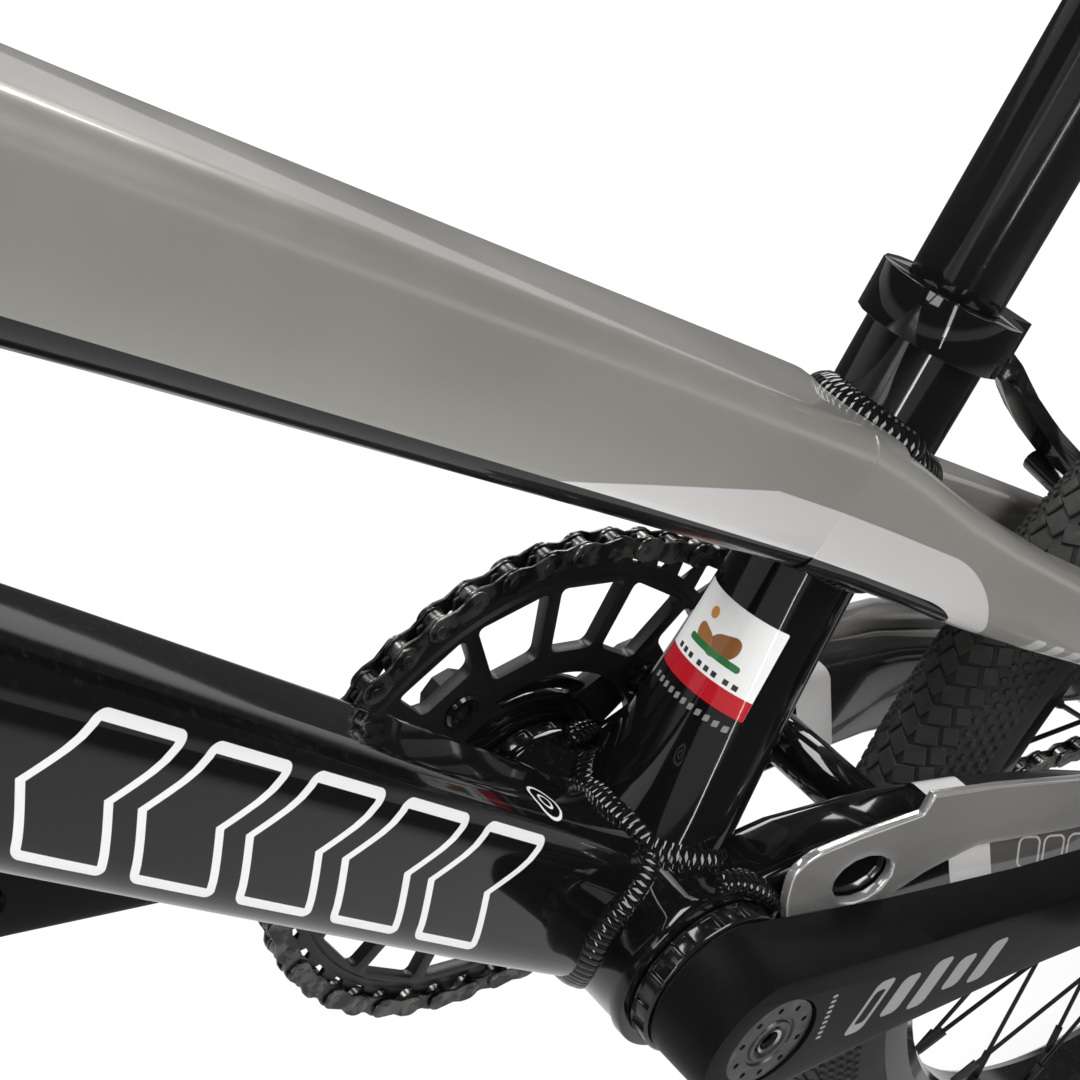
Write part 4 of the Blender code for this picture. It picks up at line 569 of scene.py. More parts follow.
warm_grey = finish("warm_grey_paint", "warm_grey_paint", (0.37, 0.36, 0.33), 0.33, 0.55, coat=0.7,
                   fine_scale=3200.0, bump=0.00001, patch=0.01, dust=0.02, paint=upper_stripes)


# %% Paint: the chainstays
def lower_stripes(tree, base):
    """A white band that leans back, and a grey panel behind it; the panel's grey is much darker on the stays' inner
    faces, as painted shade.
    """
    x, side_y, z = split(tree)
    leaning = maths(tree, "SUBTRACT", x, maths(tree, "MULTIPLY", z, 0.53))
    grey = smooth_step(tree, leaning, -0.1252, -0.1255)
    white = maths(tree, "SUBTRACT", smooth_step(tree, leaning, -0.1069, -0.1072), grey)
    outside = smooth_step(tree, maths(tree, "ABSOLUTE", side_y), 0.0435, 0.0440)
    # The grey panel is one paint: its outer faces get the grey, and its inner faces get a near-black grey that is
    # painted shade.
    panel_grey_shaded_inside = blend_colour(tree, outside, (0.022, 0.022, 0.022, 1), (0.135, 0.13, 0.125, 1))
    base = blend_colour(tree, grey, base, panel_grey_shaded_inside)
    base = blend_colour(tree, white, base, (0.84, 0.83, 0.82, 1))
    risen = maths(tree, "ADD", z, maths(tree, "MULTIPLY", x, -0.2))
    marks = [mark(tree, x, risen, (-0.140 - 0.013 * step, 0.033), (0.0105, 0.013), 0.4, 0.003, 0.0010, True)
             for step in range(6)]
    marks = maths(tree, "MULTIPLY", either(tree, marks), maths(tree, "MULTIPLY", outside, grey))
    return blend_colour(tree, marks, base, (0.70, 0.69, 0.68, 1))


chainstay_paint = gloss_paint("gloss_black_striped", lower_stripes, 0.08)


# %% Paint: the cranks
def crank_marks(tree, base):
    """Grey leaning bars along the arm, and a row of small ticks across it."""
    x, side_y, z = split(tree)
    way = maths(tree, "MULTIPLY", x, maths(tree, "MULTIPLY", maths(tree, "SIGN", side_y), -1.0))
    filled = [mark(tree, way, z, (0.0405 + 0.0130 * step, -0.0012), (0.0078, height), 0.35, 0.0024)
              for step, height in enumerate((0.0200, 0.0150, 0.0185, 0.0125, 0.0160))]
    hollow = mark(tree, way, z, (0.0405, -0.0012), (0.0044, 0.0125), 0.35, 0.0014)
    ticks = [mark(tree, way, z, (0.0212, 0.0022 + 0.0021 * step), (0.0020, 0.0011), 0, 0.0003)
             for step in range(-4, 5)]
    outer = smooth_step(tree, maths(tree, "ABSOLUTE", side_y), 0.0715, 0.0720)
    printed = maths(tree, "SUBTRACT", either(tree, filled + ticks), hollow, clamp=True)
    return blend_colour(tree, maths(tree, "MULTIPLY", printed, outer), base, (0.24, 0.24, 0.245, 1))


crank_black = finish("matte_black_crank", "matte_black_alloy", (0.004, 0.004, 0.0043), 0.37,
                     fine_scale=2600.0, bump=0.00003, patch=0.06, dust=0.02, specular=0.07, paint=crank_marks)

# %% [markdown]
# ## Tubes
# A frame tube is drawn and pressed from round stock, so its section changes along it: round at the ends,
# boxy with soft corners in the middle. In Blender that is a skin over ribs. Each rib is a square whose
# corners are bevelled, or a circle. It is scaled to the tube's width and height there, and all ribs are
# bridged in one go.

# %% Tool: skin a tube over ribs
def skin(name, ribs, corner, sides, level=LEFT):
    """A tube through (centre, width, height); corner is the corner radius as a share of half the size."""
    piece = blank(name)
    centres = [Vector(rib[0]) for rib in ribs]
    for place, (centre, width, height) in enumerate(ribs):
        ahead = (centres[min(place + 1, len(ribs) - 1)] - centres[max(place - 1, 0)]).normalized()
        across = (level - ahead * level.dot(ahead)).normalized()
        axes = Matrix((across, ahead.cross(across), ahead))
        turn = axes.transposed().to_euler()
        if corner >= 1:
            bpy.ops.mesh.primitive_circle_add(vertices=4 * sides + 4, radius=0.5, location=centre,
                                              rotation=turn)
        else:
            bpy.ops.mesh.primitive_plane_add(size=1, location=centre, rotation=turn)
        bpy.ops.transform.resize(value=(width, height, 1), orient_type="GLOBAL",
                                 orient_matrix=tuple(tuple(row) for row in axes),
                                 orient_matrix_type="GLOBAL", center_override=centre)
        if corner < 1:
            bpy.ops.mesh.bevel(offset=corner * min(width, height) / 2, segments=sides, affect="VERTICES")
            bpy.ops.mesh.delete(type="ONLY_FACE")
    everything()
    bpy.ops.mesh.bridge_edge_loops()
    nothing()
    bpy.ops.mesh.select_mode(type="EDGE")
    bpy.ops.mesh.select_non_manifold()
    bpy.ops.mesh.edge_face_add()
    return piece


def between(start, end, sections):
    """Ribs on a straight line, from (share of the way, width, height)."""
    return [(start.lerp(end, share), width, height) for share, width, height in sections]


def smooth_line(points, count):
    """Points at even steps on a smooth curve through the given ones."""
    points = [Vector(point) for point in points]
    ends = [2 * points[0] - points[1], *points, 2 * points[-1] - points[-2]]
    line = []
    for number in range(count):
        spot = number * (len(points) - 1) / (count - 1)
        part = min(int(spot), len(points) - 2)
        share = spot - part
        before, first, second, after = ends[part:part + 4]
        line.append(0.5 * (2 * first + (second - before) * share
                           + (2 * before - 5 * first + 4 * second - after) * share**2
                           + (3 * first - before - 3 * second + after) * share**3))
    return line


# %% Down tube
DOWN_TUBE = between(DOWN_TUBE_START, DOWN_TUBE_END, (
    (0, 0.046, 0.050), (0.05, 0.047, 0.051), (0.114, 0.048, 0.052), (0.411, 0.049, 0.053),
    (0.708, 0.047, 0.053)))
BEND = DOWN_TUBE[-1][0]
DOWN_TUBE += between(BEND, HEAD_BOTTOM + 0.0250 * STEER_UP,
                     ((0.3, 0.045, 0.0515), (0.6, 0.043, 0.050), (1, 0.040, 0.047)))
down_tube = skin("down_tube_skin", DOWN_TUBE, 0.62, 7)
hand_over(down_tube, "frame", down_tube_paint, "down_tube", angle=30)

# %% [markdown]
# The seat tube is round, and it flares sideways where it meets the bottom bracket. Its top is open, because
# the seat post slides in it: the end face is inset by the wall and pushed down into the tube.

# %% Seat tube
FLARES = ((0.004, 0.0190, 0.003), (0.022, 0.0175, 0.002), (0.040, 0.0150, 0.001), (0.058, 0.0112, 0.0004),
          (0.075, 0.0075, 0), (0.092, 0.0045, 0), (0.110, 0.0020, 0), (0.135, 0, 0))
SEAT_TUBE = [(SEAT_UP * along, SEAT_TUBE_WIDTH + wide, SEAT_TUBE_WIDTH + deep)
             for along, wide, deep in FLARES]
SEAT_TUBE.append((SEAT_UP * SEAT_TUBE_TOP, SEAT_TUBE_WIDTH, SEAT_TUBE_WIDTH))
seat_tube = skin("seat_tube_skin", SEAT_TUBE, 1, 11)
pick("faces", lambda face: face.normal.dot(SEAT_UP) > 0.9 and face.calc_center_median().z > 0.15)
SEAT_POST_RADIUS, SEAT_BORE = 0.0136, 0.150
bpy.ops.mesh.inset(thickness=SEAT_TUBE_WIDTH / 2 - SEAT_POST_RADIUS - 0.0002)
bpy.ops.mesh.extrude_region_move(TRANSFORM_OT_translate={"value": -SEAT_BORE * SEAT_UP})
hand_over(seat_tube, "frame", seat_tube_paint, "seat_tube")

# %% Top tube
TOP_TUBE = [(Vector((-0.024, 0, 0.1415)), 0.0565, 0.0405)]
TOP_TUBE += between(Vector((-0.045, 0, 0.1332)), HEAD_TOP - 0.040 * STEER_UP, (
    (0.065, 0.055, 0.041), (0.207, 0.050, 0.042), (0.483, 0.045, 0.043), (0.799, 0.040, 0.046),
    (1, 0.037, 0.050)))
top_tube = skin("top_tube_skin", TOP_TUBE, 0.42, 6)
hand_over(top_tube, "frame", warm_grey, "top_tube", angle=30)

# %% [markdown]
# The stays come in pairs, so each is described once, for the left side, and mirrored by its ribs' Y. That
# is safer than mirroring the mesh, which would turn it inside out.

# %% Stays
SEATSTAY = (
    ((-0.010, 0.0130, 0.1468), 0.029, 0.041), ((-0.030, 0.0158, 0.1378), 0.029, 0.038),
    ((-0.055, 0.0215, 0.1252), 0.028, 0.033), ((-0.075, 0.0270, 0.1155), 0.025, 0.030),
    ((-0.105, 0.0320, 0.1022), 0.022, 0.0265), ((-0.150, 0.0375, 0.0845), 0.0205, 0.024),
    ((-0.215, 0.0430, 0.0590), 0.018, 0.021), ((-0.275, 0.0465, 0.0360), 0.015, 0.019),
    ((-0.322, 0.0480, 0.0180), 0.0125, 0.018),
)
CHAINSTAY = (
    ((-0.008, 0.0270, 0.0060), 0.024, 0.038), ((-0.035, 0.0305, 0.0120), 0.024, 0.042),
    ((-0.070, 0.0340, 0.0150), 0.019, 0.043), ((-0.105, 0.0365, 0.0130), 0.017, 0.040),
    ((-0.150, 0.0410, 0.0080), 0.017, 0.036), ((-0.200, 0.0450, -0.0030), 0.016, 0.032),
    ((-0.260, 0.0470, -0.0180), 0.014, 0.027), ((-0.318, 0.0478, -0.0335), 0.013, 0.023),
)
SIDES = (("left", 1), ("right", -1))


def one_side(ribs, way):
    """The ribs on the left for way 1, or on the right for way -1."""
    return [(Vector((x, way * y, z)), width, height) for (x, y, z), width, height in ribs]


for name, way in SIDES:
    stay = skin(name + "_seatstay_skin", one_side(SEATSTAY, way), 0.5, 5)
    hand_over(stay, "frame", warm_grey, name + "_seatstay", angle=30)
    stay = skin(name + "_chainstay_skin", one_side(CHAINSTAY, way), 0.45, 5)
    hand_over(stay, "frame", chainstay_paint, name + "_chainstay", angle=30)

# %% [markdown]
# ## Turned parts
# Cups, hubs, rims and bolts are turned on a lathe, and Blender's lathe is Spin: a profile is drawn by
# extruding one point from corner to corner, and it is spun once round the axis. A small bevel on the sharp
# corners afterwards catches the light, as the break of an edge does on the real part.

# %% Tool: the lathe
def turned(name, profile, origin, axis, steps=64, edge=0.0):
    """Spins a closed profile, given as (radius, distance along the axis), round the axis."""
    piece = blank(name)
    origin, axis = Vector(origin), Vector(axis).normalized()
    outward = axis.orthogonal().normalized()
    spots = [origin + outward * radius + axis * distance for radius, distance in profile]
    bpy.ops.mesh.primitive_plane_add(size=0.0002, location=spots[0])
    bpy.ops.mesh.merge(type="CENTER")
    for first, second in zip(spots, spots[1:] + spots[:1]):
        bpy.ops.mesh.extrude_region_move(TRANSFORM_OT_translate={"value": second - first})
    everything()
    bpy.ops.mesh.spin(steps=steps, angle=2 * math.pi, center=origin, axis=axis)
    clean()
    if edge:
        soften(piece, edge)
    return piece


def ring_profile(inner, outer, low, high):
    """A plain ring's profile."""
    return [(inner, low), (outer, low), (outer, high), (inner, high)]

def repeat_round(count, centre):
    """Copies all of the open piece round an axle, so that there are count of it."""
    everything()
    bpy.ops.mesh.spin(steps=count - 1, dupli=True, use_auto_merge=False,
                      angle=2 * math.pi * (1 - 1 / count), center=centre, axis=LEFT)


# %% Bottom bracket shell
SHELL_RADIUS, SHELL_LIP, SHELL_BORE, SHELL_HALF = 0.028, 0.0293, 0.0222, 0.041
shell = turned("shell_fine", [
    (SHELL_BORE, -SHELL_HALF), (SHELL_LIP, -SHELL_HALF), (SHELL_LIP, 0.004 - SHELL_HALF),
    (SHELL_RADIUS, 0.0065 - SHELL_HALF), (SHELL_RADIUS, SHELL_HALF - 0.0065), (SHELL_LIP, SHELL_HALF - 0.004),
    (SHELL_LIP, SHELL_HALF), (SHELL_BORE, SHELL_HALF)], (0, 0, 0), LEFT, 96, 0.0005)
hand_over(shell, "frame", gloss_black, "bb_shell")

# %% [markdown]
# The bearing cups are screwed in with a tool that grips sixteen notches. A cylinder with four sides for
# each notch gives the layout for free: two of every four side faces are inset and pushed inwards.

# %% Bearing cups
CUP_RADIUS, CUP_END, NOTCHES = 0.0258, 0.0485, 16
for name, way in SIDES:
    cup_body = turned(name + "_cup_fine", [
        (0.0123, 0.030), (0.0218, 0.030), (0.0218, SHELL_HALF + 0.0003), (CUP_RADIUS - 0.0004, SHELL_HALF + 0.0003),
        (CUP_RADIUS, SHELL_HALF + 0.0008), (CUP_RADIUS, CUP_END - 0.0008), (CUP_RADIUS - 0.0008, CUP_END),
        (0.0236, CUP_END), (0.0232, CUP_END - 0.0012), (0.0123, CUP_END - 0.0012)],
        (0, 0, 0), LEFT * way, 4 * NOTCHES)
    take(cup_body)
    step = 2 * math.pi / NOTCHES

    def in_notch(face):
        """The side faces that lie in a notch."""
        spot = face.calc_center_median()
        out = math.hypot(spot.x, spot.z)
        turn = math.atan2(spot.z, spot.x) % step
        return out > CUP_RADIUS - 0.0002 and abs(spot.y) > 0.043 and turn < step / 2

    picked = pick("faces", in_notch)
    bpy.ops.mesh.inset(thickness=0.0005)
    bpy.ops.transform.shrink_fatten(value=-0.0013)
    print(name, "cup has", picked, "notched faces")
    soften(cup_body, 0.00025, 2, 30)
    hand_over(cup_body, "frame", gloss_alloy, name + "_bb_cup")
    seal = turned(name + "_cup_seal", ring_profile(0.0124, 0.0231, CUP_END - 0.0013, CUP_END + 0.0004),
                  (0, 0, 0), LEFT * way, 48, 0.0004)
    hand_over(seal, "frame", grip_rubber)

# %% [markdown]
# ## Weld beads
# The tubes are joined by hand with a torch, which leaves a row of overlapping ripples, like a stack of
# coins pushed over. To find where two tubes meet, rays are sent along one tube's surface until they hit
# the other. The hits make the seam, and small flattened domes are set along it, each leaning on the last.

# %% Tool: copies of one shape along places
def copies(name, prototype, places):
    """Joins one copy of a prototype for each place (a 4x4 matrix) into a piece, and drops the prototype."""
    calm()
    made = []
    for place in places:
        copy = bpy.data.objects.new(name, prototype.data.copy())
        copy.matrix_world = place
        bpy.context.scene.collection.objects.link(copy)
        copy.select_set(True)
        made.append(copy)
    bpy.context.view_layer.objects.active = made[0]
    bpy.ops.object.join()
    bpy.ops.object.transform_apply(location=True, rotation=True, scale=True)
    bpy.data.objects.remove(prototype)
    made[0].name = name
    return made[0]


def facing(along, out, spot):
    """A place whose X runs along, and whose Z points out."""
    along = Vector(along).normalized()
    across = Vector(out).cross(along).normalized()
    upright = along.cross(across)
    return Matrix.Translation(spot) @ Matrix((along, across, upright)).transposed().to_4x4()


# %% Tool: find and fill a seam
RIPPLE, RIPPLE_HALF, RIPPLE_LEAN = 0.0025, 0.0032, math.radians(24)  # step, half length, lean


def seam(centre, towards, width, height, targets, squareness=2.0, reach=0.2):
    """Where a tube's surface lines meet other nodes: (spot, outward) all the way round."""
    towards = Vector(towards).normalized()
    upright = towards.cross(LEFT)
    trees = []
    for target in targets:
        mesh = nodes[target].data
        trees.append(BVHTree.FromPolygons([vert.co for vert in mesh.vertices],
                                          [face.vertices for face in mesh.polygons]))
    found = []
    for degree in range(0, 361, 3):
        sides = [math.copysign(abs(part) ** (2 / squareness), part)
                 for part in (math.cos(math.radians(degree)), math.sin(math.radians(degree)))]
        radial = LEFT * sides[0] * width / 2 + upright * sides[1] * height / 2
        hits = [tree.ray_cast(Vector(centre) + radial, towards, reach) for tree in trees]
        hits = [hit for hit in hits if hit[0] is not None]
        if hits:
            spot, normal, _, _ = min(hits, key=lambda hit: hit[3])
            if normal.dot(towards) > 0:
                normal = -normal
            out = (normal + radial.normalized()).normalized()
            found.append((spot + out * 0.0004, out))
    return found


def weld(name, found, wide=0.0054):
    """Overlapping ripples at even steps along a seam."""
    places, left_over = [], 0.0
    lift = Matrix.Rotation(RIPPLE_LEAN, 4, "Y")
    for (first, out), (second, next_out) in zip(found, found[1:]):
        length = (second - first).length
        if length > 0.012 or length < 1e-6:
            continue
        while left_over < length:
            share = left_over / length
            places.append(facing(second - first, out.lerp(next_out, share), first.lerp(second, share)) @ lift)
            left_over += RIPPLE
        left_over -= length
    ripple = blank(name + "_ripple")
    bpy.ops.mesh.primitive_uv_sphere_add(segments=12, ring_count=8, radius=1)
    stretch((RIPPLE_HALF, wide, RIPPLE_HALF))
    bead = copies(name, ripple, places)
    hand_over(bead, "frame", gloss_black, angle=60, tidy=False)


# %% Seams round the bottom bracket
away = DOWN_TUBE_START + 0.12 * DOWN_TUBE_WAY
weld("weld_down_tube", seam(away, -DOWN_TUBE_WAY, 0.047, 0.051, ("bb_shell", "seat_tube"), 2.6), 0.0068)
weld("weld_seat_tube", seam(SEAT_UP * 0.09, -SEAT_UP, 0.051, 0.037, ("bb_shell",)), 0.0062)
for name, way in SIDES:
    ribs = one_side(CHAINSTAY, way)
    start = ribs[2][0]
    weld(f"weld_{name}_chainstay", seam(start, ribs[1][0] - start, 0.024, 0.041, ("bb_shell",), 3.4),
         0.0048)

# %% Seams at the upper joints
upper_tubes = ("top_tube", "left_seatstay", "right_seatstay")
weld("weld_top_tube_under", seam(SEAT_UP * 0.085, SEAT_UP, 0.0378, 0.0378, upper_tubes))
weld("weld_top_tube_over", seam(SEAT_UP * 0.192, -SEAT_UP, 0.0378, 0.0378, upper_tubes, reach=0.06))
for name, tube, size in (("top", TOP_TUBE, (0.0375, 0.0495)), ("down", DOWN_TUBE, (0.0405, 0.0475))):
    start, end = tube[-2][0], tube[-1][0]
    weld(f"weld_head_{name}", seam(start, end - start, *size, ("head_tube",), 3.0), 0.0044)
crotch = [(Vector((-0.0655 - 0.0016 * abs(step), 0.0011 * step, 0.1330 - 0.0022 * abs(step))),
           Vector((-0.3, 0, 1)).normalized()) for step in range(-6, 7)]
weld("weld_stays_crotch", crotch, 0.0036)

# %% [markdown]
# ## Engineered pieces, refined
# Many small parts already have their exact shape: clamps, plates, bolts, the chainring. Their meshes are
# made of loose triangles, so a copy is merged, flat triangles are dissolved into whole faces, and the
# sharp edges get a narrow bevel. The copy then stands for the engineered piece.

# %% Tool: refine a copy of a node
def refined(node, material, edge=0.0005, segments=2, angle=32, shape=None):
    """A merged, bevelled copy of an engineered node; shape(node) may rework it before the bevel."""
    piece = blank(node + "_fine", nodes[node].data.copy())
    everything()
    bpy.ops.mesh.remove_doubles(threshold=MERGE)
    bpy.ops.mesh.dissolve_limited(angle_limit=math.radians(1.0))
    bpy.ops.mesh.normals_make_consistent(inside=False)
    if shape:
        shape(node)
    soften(piece, edge, segments, angle)
    hand_over(piece, home[node], material, node)


# %% Dropout plates
HOLE_X, HOLE_TOP, NOSE_START = -0.0545, 0.0308, -0.030

def plate(node):
    """Rounds the plate's nose, opens its hole downwards, and sinks its outer face inside a raised rim."""
    way = 1 if node.startswith("left") else -1
    pick("verts", lambda vert: abs(vert.co.x - HOLE_X) < 0.0135 and 0.015 < vert.co.z < 0.032)
    stretch((1.06, 1, 1.28), (HOLE_X, 0, HOLE_TOP))
    pick("edges", lambda edge: abs(edge.verts[0].co.y - edge.verts[1].co.y) > 0.0025 and all(
        vert.co.x > NOSE_START for vert in edge.verts))
    bpy.ops.mesh.bevel(offset=0.0036, segments=5, affect="EDGES")
    pick("faces", lambda face: face.normal.y * way > 0.9)
    for thickness, depth in ((0.0009, -0.0004), (0.0014, -0.0002)):
        bpy.ops.mesh.inset(thickness=thickness, depth=depth)


for node in ("left_dropout", "right_dropout"):
    refined(node, polished, 0.00045, 3, shape=plate)

# %% Refined pieces of the frame
for node in ("chainstay_bridge", "seat_clamp"):
    refined(node, gloss_black)
refined("seatstay_bridge", warm_grey)
for node in ("lower_headset_cup", "upper_headset_cup", "headset_top_cap"):
    refined(node, matte_alloy)
for node in ("rear_axle", "front_axle", "crank_spindle", "left_pedal_axle", "right_pedal_axle", "saddle_bolt"):
    refined(node, steel, 0.0004)
for node in ("stem", "stem_faceplate", "handlebar_crossbar", "seatpost", "fork_steerer", "left_fork_leg",
             "right_fork_leg", "left_brake_arm", "right_brake_arm", "brake_lever"):
    refined(node, gloss_alloy, 0.0004)
refined("lever_clamp", matte_alloy)
refined("rear_cog", steel, 0.0003)

# %% Head tube
ring = HEAD_TUBE_RADIUS + 0.001
head_tube = turned("head_tube_fine", [
    (0.0186, 0), (ring, 0), (ring, 0.006), (HEAD_TUBE_RADIUS, 0.009),
    (HEAD_TUBE_RADIUS, HEAD_TUBE_LENGTH - 0.009), (ring, HEAD_TUBE_LENGTH - 0.006), (ring, HEAD_TUBE_LENGTH),
    (0.0186, HEAD_TUBE_LENGTH)], HEAD_BOTTOM, STEER_UP, 64, 0.0006)
hand_over(head_tube, "frame", gloss_black, "head_tube")

# %% [markdown]
# ## Cranks
# A forged crank is two round bosses joined by a tapering arm. Its rough shape is what a cloth pulled tight
# round two discs would give, so it starts as two cylinders under a convex hull. Two cuts across the arm
# are then scaled to give it a waist, and all edges get a generous bevel.

# %% Tool: a crank arm
CRANK_LENGTH, CRANK_END, CRANK_TIP = 0.175, 0.0245, 0.0145
ROOT_INNER, ROOT_OUTER, TIP_INNER, TIP_OUTER = 0.0495, 0.0730, 0.0640, 0.0780
WAIST = ((0.34, 0.86), (0.66, 0.90))  # share of the length, and height there against a straight taper


def crank_arm(name, way):
    """An arm that points back on the left, for way 1, and forward on the right."""
    piece = blank(name)
    for x, radius, inner, outer in ((0.0, CRANK_END, ROOT_INNER, ROOT_OUTER),
                                    (-way * CRANK_LENGTH, CRANK_TIP, TIP_INNER, TIP_OUTER)):
        bpy.ops.mesh.primitive_cylinder_add(vertices=72, radius=radius, depth=outer - inner,
                                            location=(x, way * (inner + outer) / 2, 0),
                                            rotation=(math.pi / 2, 0, 0))
    everything()
    bpy.ops.mesh.convex_hull()
    everything()
    bpy.ops.mesh.dissolve_limited(angle_limit=math.radians(0.5))
    for share, height in WAIST:
        everything()
        bpy.ops.mesh.bisect(plane_co=(-way * CRANK_LENGTH * share, 0, 0), plane_no=(1, 0, 0))
        stretch((1, 1, height))
    return soften(piece, 0.0030, 4, 40)


# %% Tools: sticks and holes
def stick(start, end, radius, sides=8):
    """A cylinder from start to end, added to the open piece."""
    start, end = Vector(start), Vector(end)
    nothing()
    bpy.ops.mesh.primitive_cylinder_add(
        vertices=sides, radius=radius, depth=(end - start).length, location=(start + end) / 2,
        rotation=(end - start).to_track_quat("Z", "Y").to_euler())

def cut_away(piece, cutter):
    """Takes a shape away from a piece, and drops the shape."""
    treat(piece, "BOOLEAN", operation="DIFFERENCE", object=cutter, solver="EXACT")
    bpy.data.objects.remove(cutter)

def hole(piece, radius, start, end, sides=48):
    """Cuts a round hole from start to end."""
    cutter = blank("cutter")
    stick(start, end, radius, sides)
    calm()
    cut_away(piece, cutter)


# %% Crank arms
CAP_RADIUS = 0.0162
for name, way in SIDES:
    arm = crank_arm(name + "_crank_arm", way)
    hole(arm, 0.0124, (0, way * 0.04, 0), (0, way * 0.0668, 0))
    hole(arm, 0.0072, (-way * CRANK_LENGTH, way * 0.04, 0), (-way * CRANK_LENGTH, way * 0.1, 0))
    if way > 0:
        hole(arm, CAP_RADIUS + 0.0003, (0, 0.0700, 0), (0, 0.08, 0), 64)
    hand_over(arm, "crank", crank_black, *((name + "_crank",) if way > 0 else ()), angle=30)

# %% [markdown]
# The cap on the spindle's end is a disc with ten small holes, a raised ring and a splined socket. Holes in a
# row are one boolean each, which is simple to read, and the cap is small enough for that to be quick.

# %% Spindle cap
CAP_LOW, CAP_HIGH, CAP_HOLES = 0.0702, 0.0730, 10
cap = turned("spindle_cap_fine", [
    (0.0046, CAP_LOW), (CAP_RADIUS, CAP_LOW), (CAP_RADIUS, CAP_HIGH - 0.0004), (CAP_RADIUS - 0.0005, CAP_HIGH),
    (0.0092, CAP_HIGH), (0.0088, CAP_HIGH - 0.0006), (0.0078, CAP_HIGH - 0.0006), (0.0074, CAP_HIGH),
    (0.0062, CAP_HIGH), (0.0046, CAP_HIGH - 0.0012)], (0, 0, 0), LEFT, 72)
for number in range(CAP_HOLES):
    turn = 2 * math.pi * (number + 0.4) / CAP_HOLES
    spot = Vector((0.0126 * math.cos(turn), CAP_HIGH, 0.0126 * math.sin(turn)))
    hole(cap, 0.00105, spot - 0.0016 * LEFT, spot + 0.001 * LEFT, 16)
hand_over(cap, "crank", gunmetal, "spindle_cap", angle=30)
socket = turned("spindle_socket", [
    (0.0044, CAP_LOW + 0.0004), (0.0044, CAP_HIGH - 0.0002), (0.0034, CAP_HIGH - 0.0006),
    (0.0034, CAP_LOW + 0.0004)], (0, 0, 0), LEFT, 16)
hand_over(socket, "crank", steel, angle=20)

# %% [markdown]
# The right crank carries the chainring on a four-armed spider. The spider keeps its engineered shape, so
# the refined copy stands for the whole right crank, and the smooth arm is laid over it. Turned rings on its
# boss show through the chainring's bore.

# %% Spider and boss rings
refined("right_crank", matte_alloy, 0.0008, 2, 40)
for number, (radius, depth) in enumerate(((0.0385, -0.0530), (0.0330, -0.0510), (0.0275, -0.0490))):
    ring = turned(f"boss_ring_{number}", ring_profile(radius - 0.0042, radius, -0.0560, depth), (0, 0, 0), LEFT,
                  72, 0.0006)
    hand_over(ring, "crank", gloss_alloy)

# %% [markdown]
# The chainring is a turned ring with sixteen windows milled through it. The windows are tapered slots with
# round corners, shorter where a bolt sits below. One cutter of each kind is modelled, copied round the
# axle, and taken away in one boolean. The teeth are small wedges, spun round as copies.

# %% Chainring
RING_TEETH, PITCH, CHAIN_LINE = 44, 0.0127, -0.0495
ring_radius = PITCH / (2 * math.sin(math.pi / RING_TEETH))
RING_BODY, RING_BORE, RING_HALF = ring_radius - 0.0060, 0.0445, 0.0021
WINDOWS, WEB_WIDTH, WINDOW_INNER, WINDOW_OUTER, WINDOW_OVER_BOLT = 16, 0.0042, 0.053, 0.0765, 0.0625
chainring = turned("chainring_fine", [
    (RING_BORE, -RING_HALF), (0.0790, -RING_HALF), (0.0800, 0.0010 - RING_HALF), (RING_BODY, 0.0012 - RING_HALF),
    (RING_BODY, RING_HALF - 0.0012), (0.0800, RING_HALF - 0.0010), (0.0790, RING_HALF), (RING_BORE, RING_HALF)],
    (0, CHAIN_LINE, 0), LEFT, 96)


def window_cutter(name, inner):
    """A tapering slot with round corners, along X."""
    piece = blank(name)
    middle = (inner + WINDOW_OUTER) / 2
    sizes = [2 * radius * math.sin(math.pi / WINDOWS) - WEB_WIDTH for radius in (inner, WINDOW_OUTER)]
    bpy.ops.mesh.primitive_plane_add(size=1, location=(middle, CHAIN_LINE - 0.01, 0),
                                     rotation=(math.pi / 2, 0, 0))
    stretch((WINDOW_OUTER - inner, 1, sizes[0]), (middle, 0, 0))
    pick("verts", lambda vert: vert.co.x > middle)
    stretch((1, 1, sizes[1] / sizes[0]), (middle, 0, 0))
    everything()
    bpy.ops.mesh.bevel(offset=0.0024, segments=4, affect="VERTICES")
    everything()
    bpy.ops.mesh.extrude_region_move(TRANSFORM_OT_translate={"value": (0, 0.02, 0)})
    clean()
    return piece


BOLT_CIRCLE, BOLT_TURN = 0.052, math.radians(50.2)
for kind, inner in (("plain", WINDOW_INNER), ("bolt", WINDOW_OVER_BOLT)):
    turns = [BOLT_TURN + 2 * math.pi * number / WINDOWS for number in range(WINDOWS)
             if (number % 4 == 0) == (kind == "bolt")]
    cutters = copies(kind + "_windows", window_cutter("window", inner),
                     [Matrix.Rotation(-turn, 4, "Y") for turn in turns])
    cut_away(chainring, cutters)
soften(chainring, 0.00045, 2, 40)
hand_over(chainring, "crank", matte_alloy, "chainring", angle=30)
teeth = blank("chainring_teeth")
step = 2 * math.pi / RING_TEETH
root = Vector((ring_radius - 0.0018, CHAIN_LINE, 0))
bpy.ops.mesh.primitive_cube_add(size=1, location=root)
stretch((0.0105, 0.0019, 0.0086), root)
pick("verts", lambda vert: vert.co.x > root.x)
stretch((1, 0.55, 0.25), root)
everything()
bpy.ops.transform.rotate(value=step / 2, orient_axis="Y", center_override=(0, 0, 0))
bpy.ops.mesh.bevel(offset=0.0003, segments=1, affect="EDGES")
repeat_round(RING_TEETH, (0, 0, 0))
hand_over(teeth, "crank", matte_alloy, tidy=False)

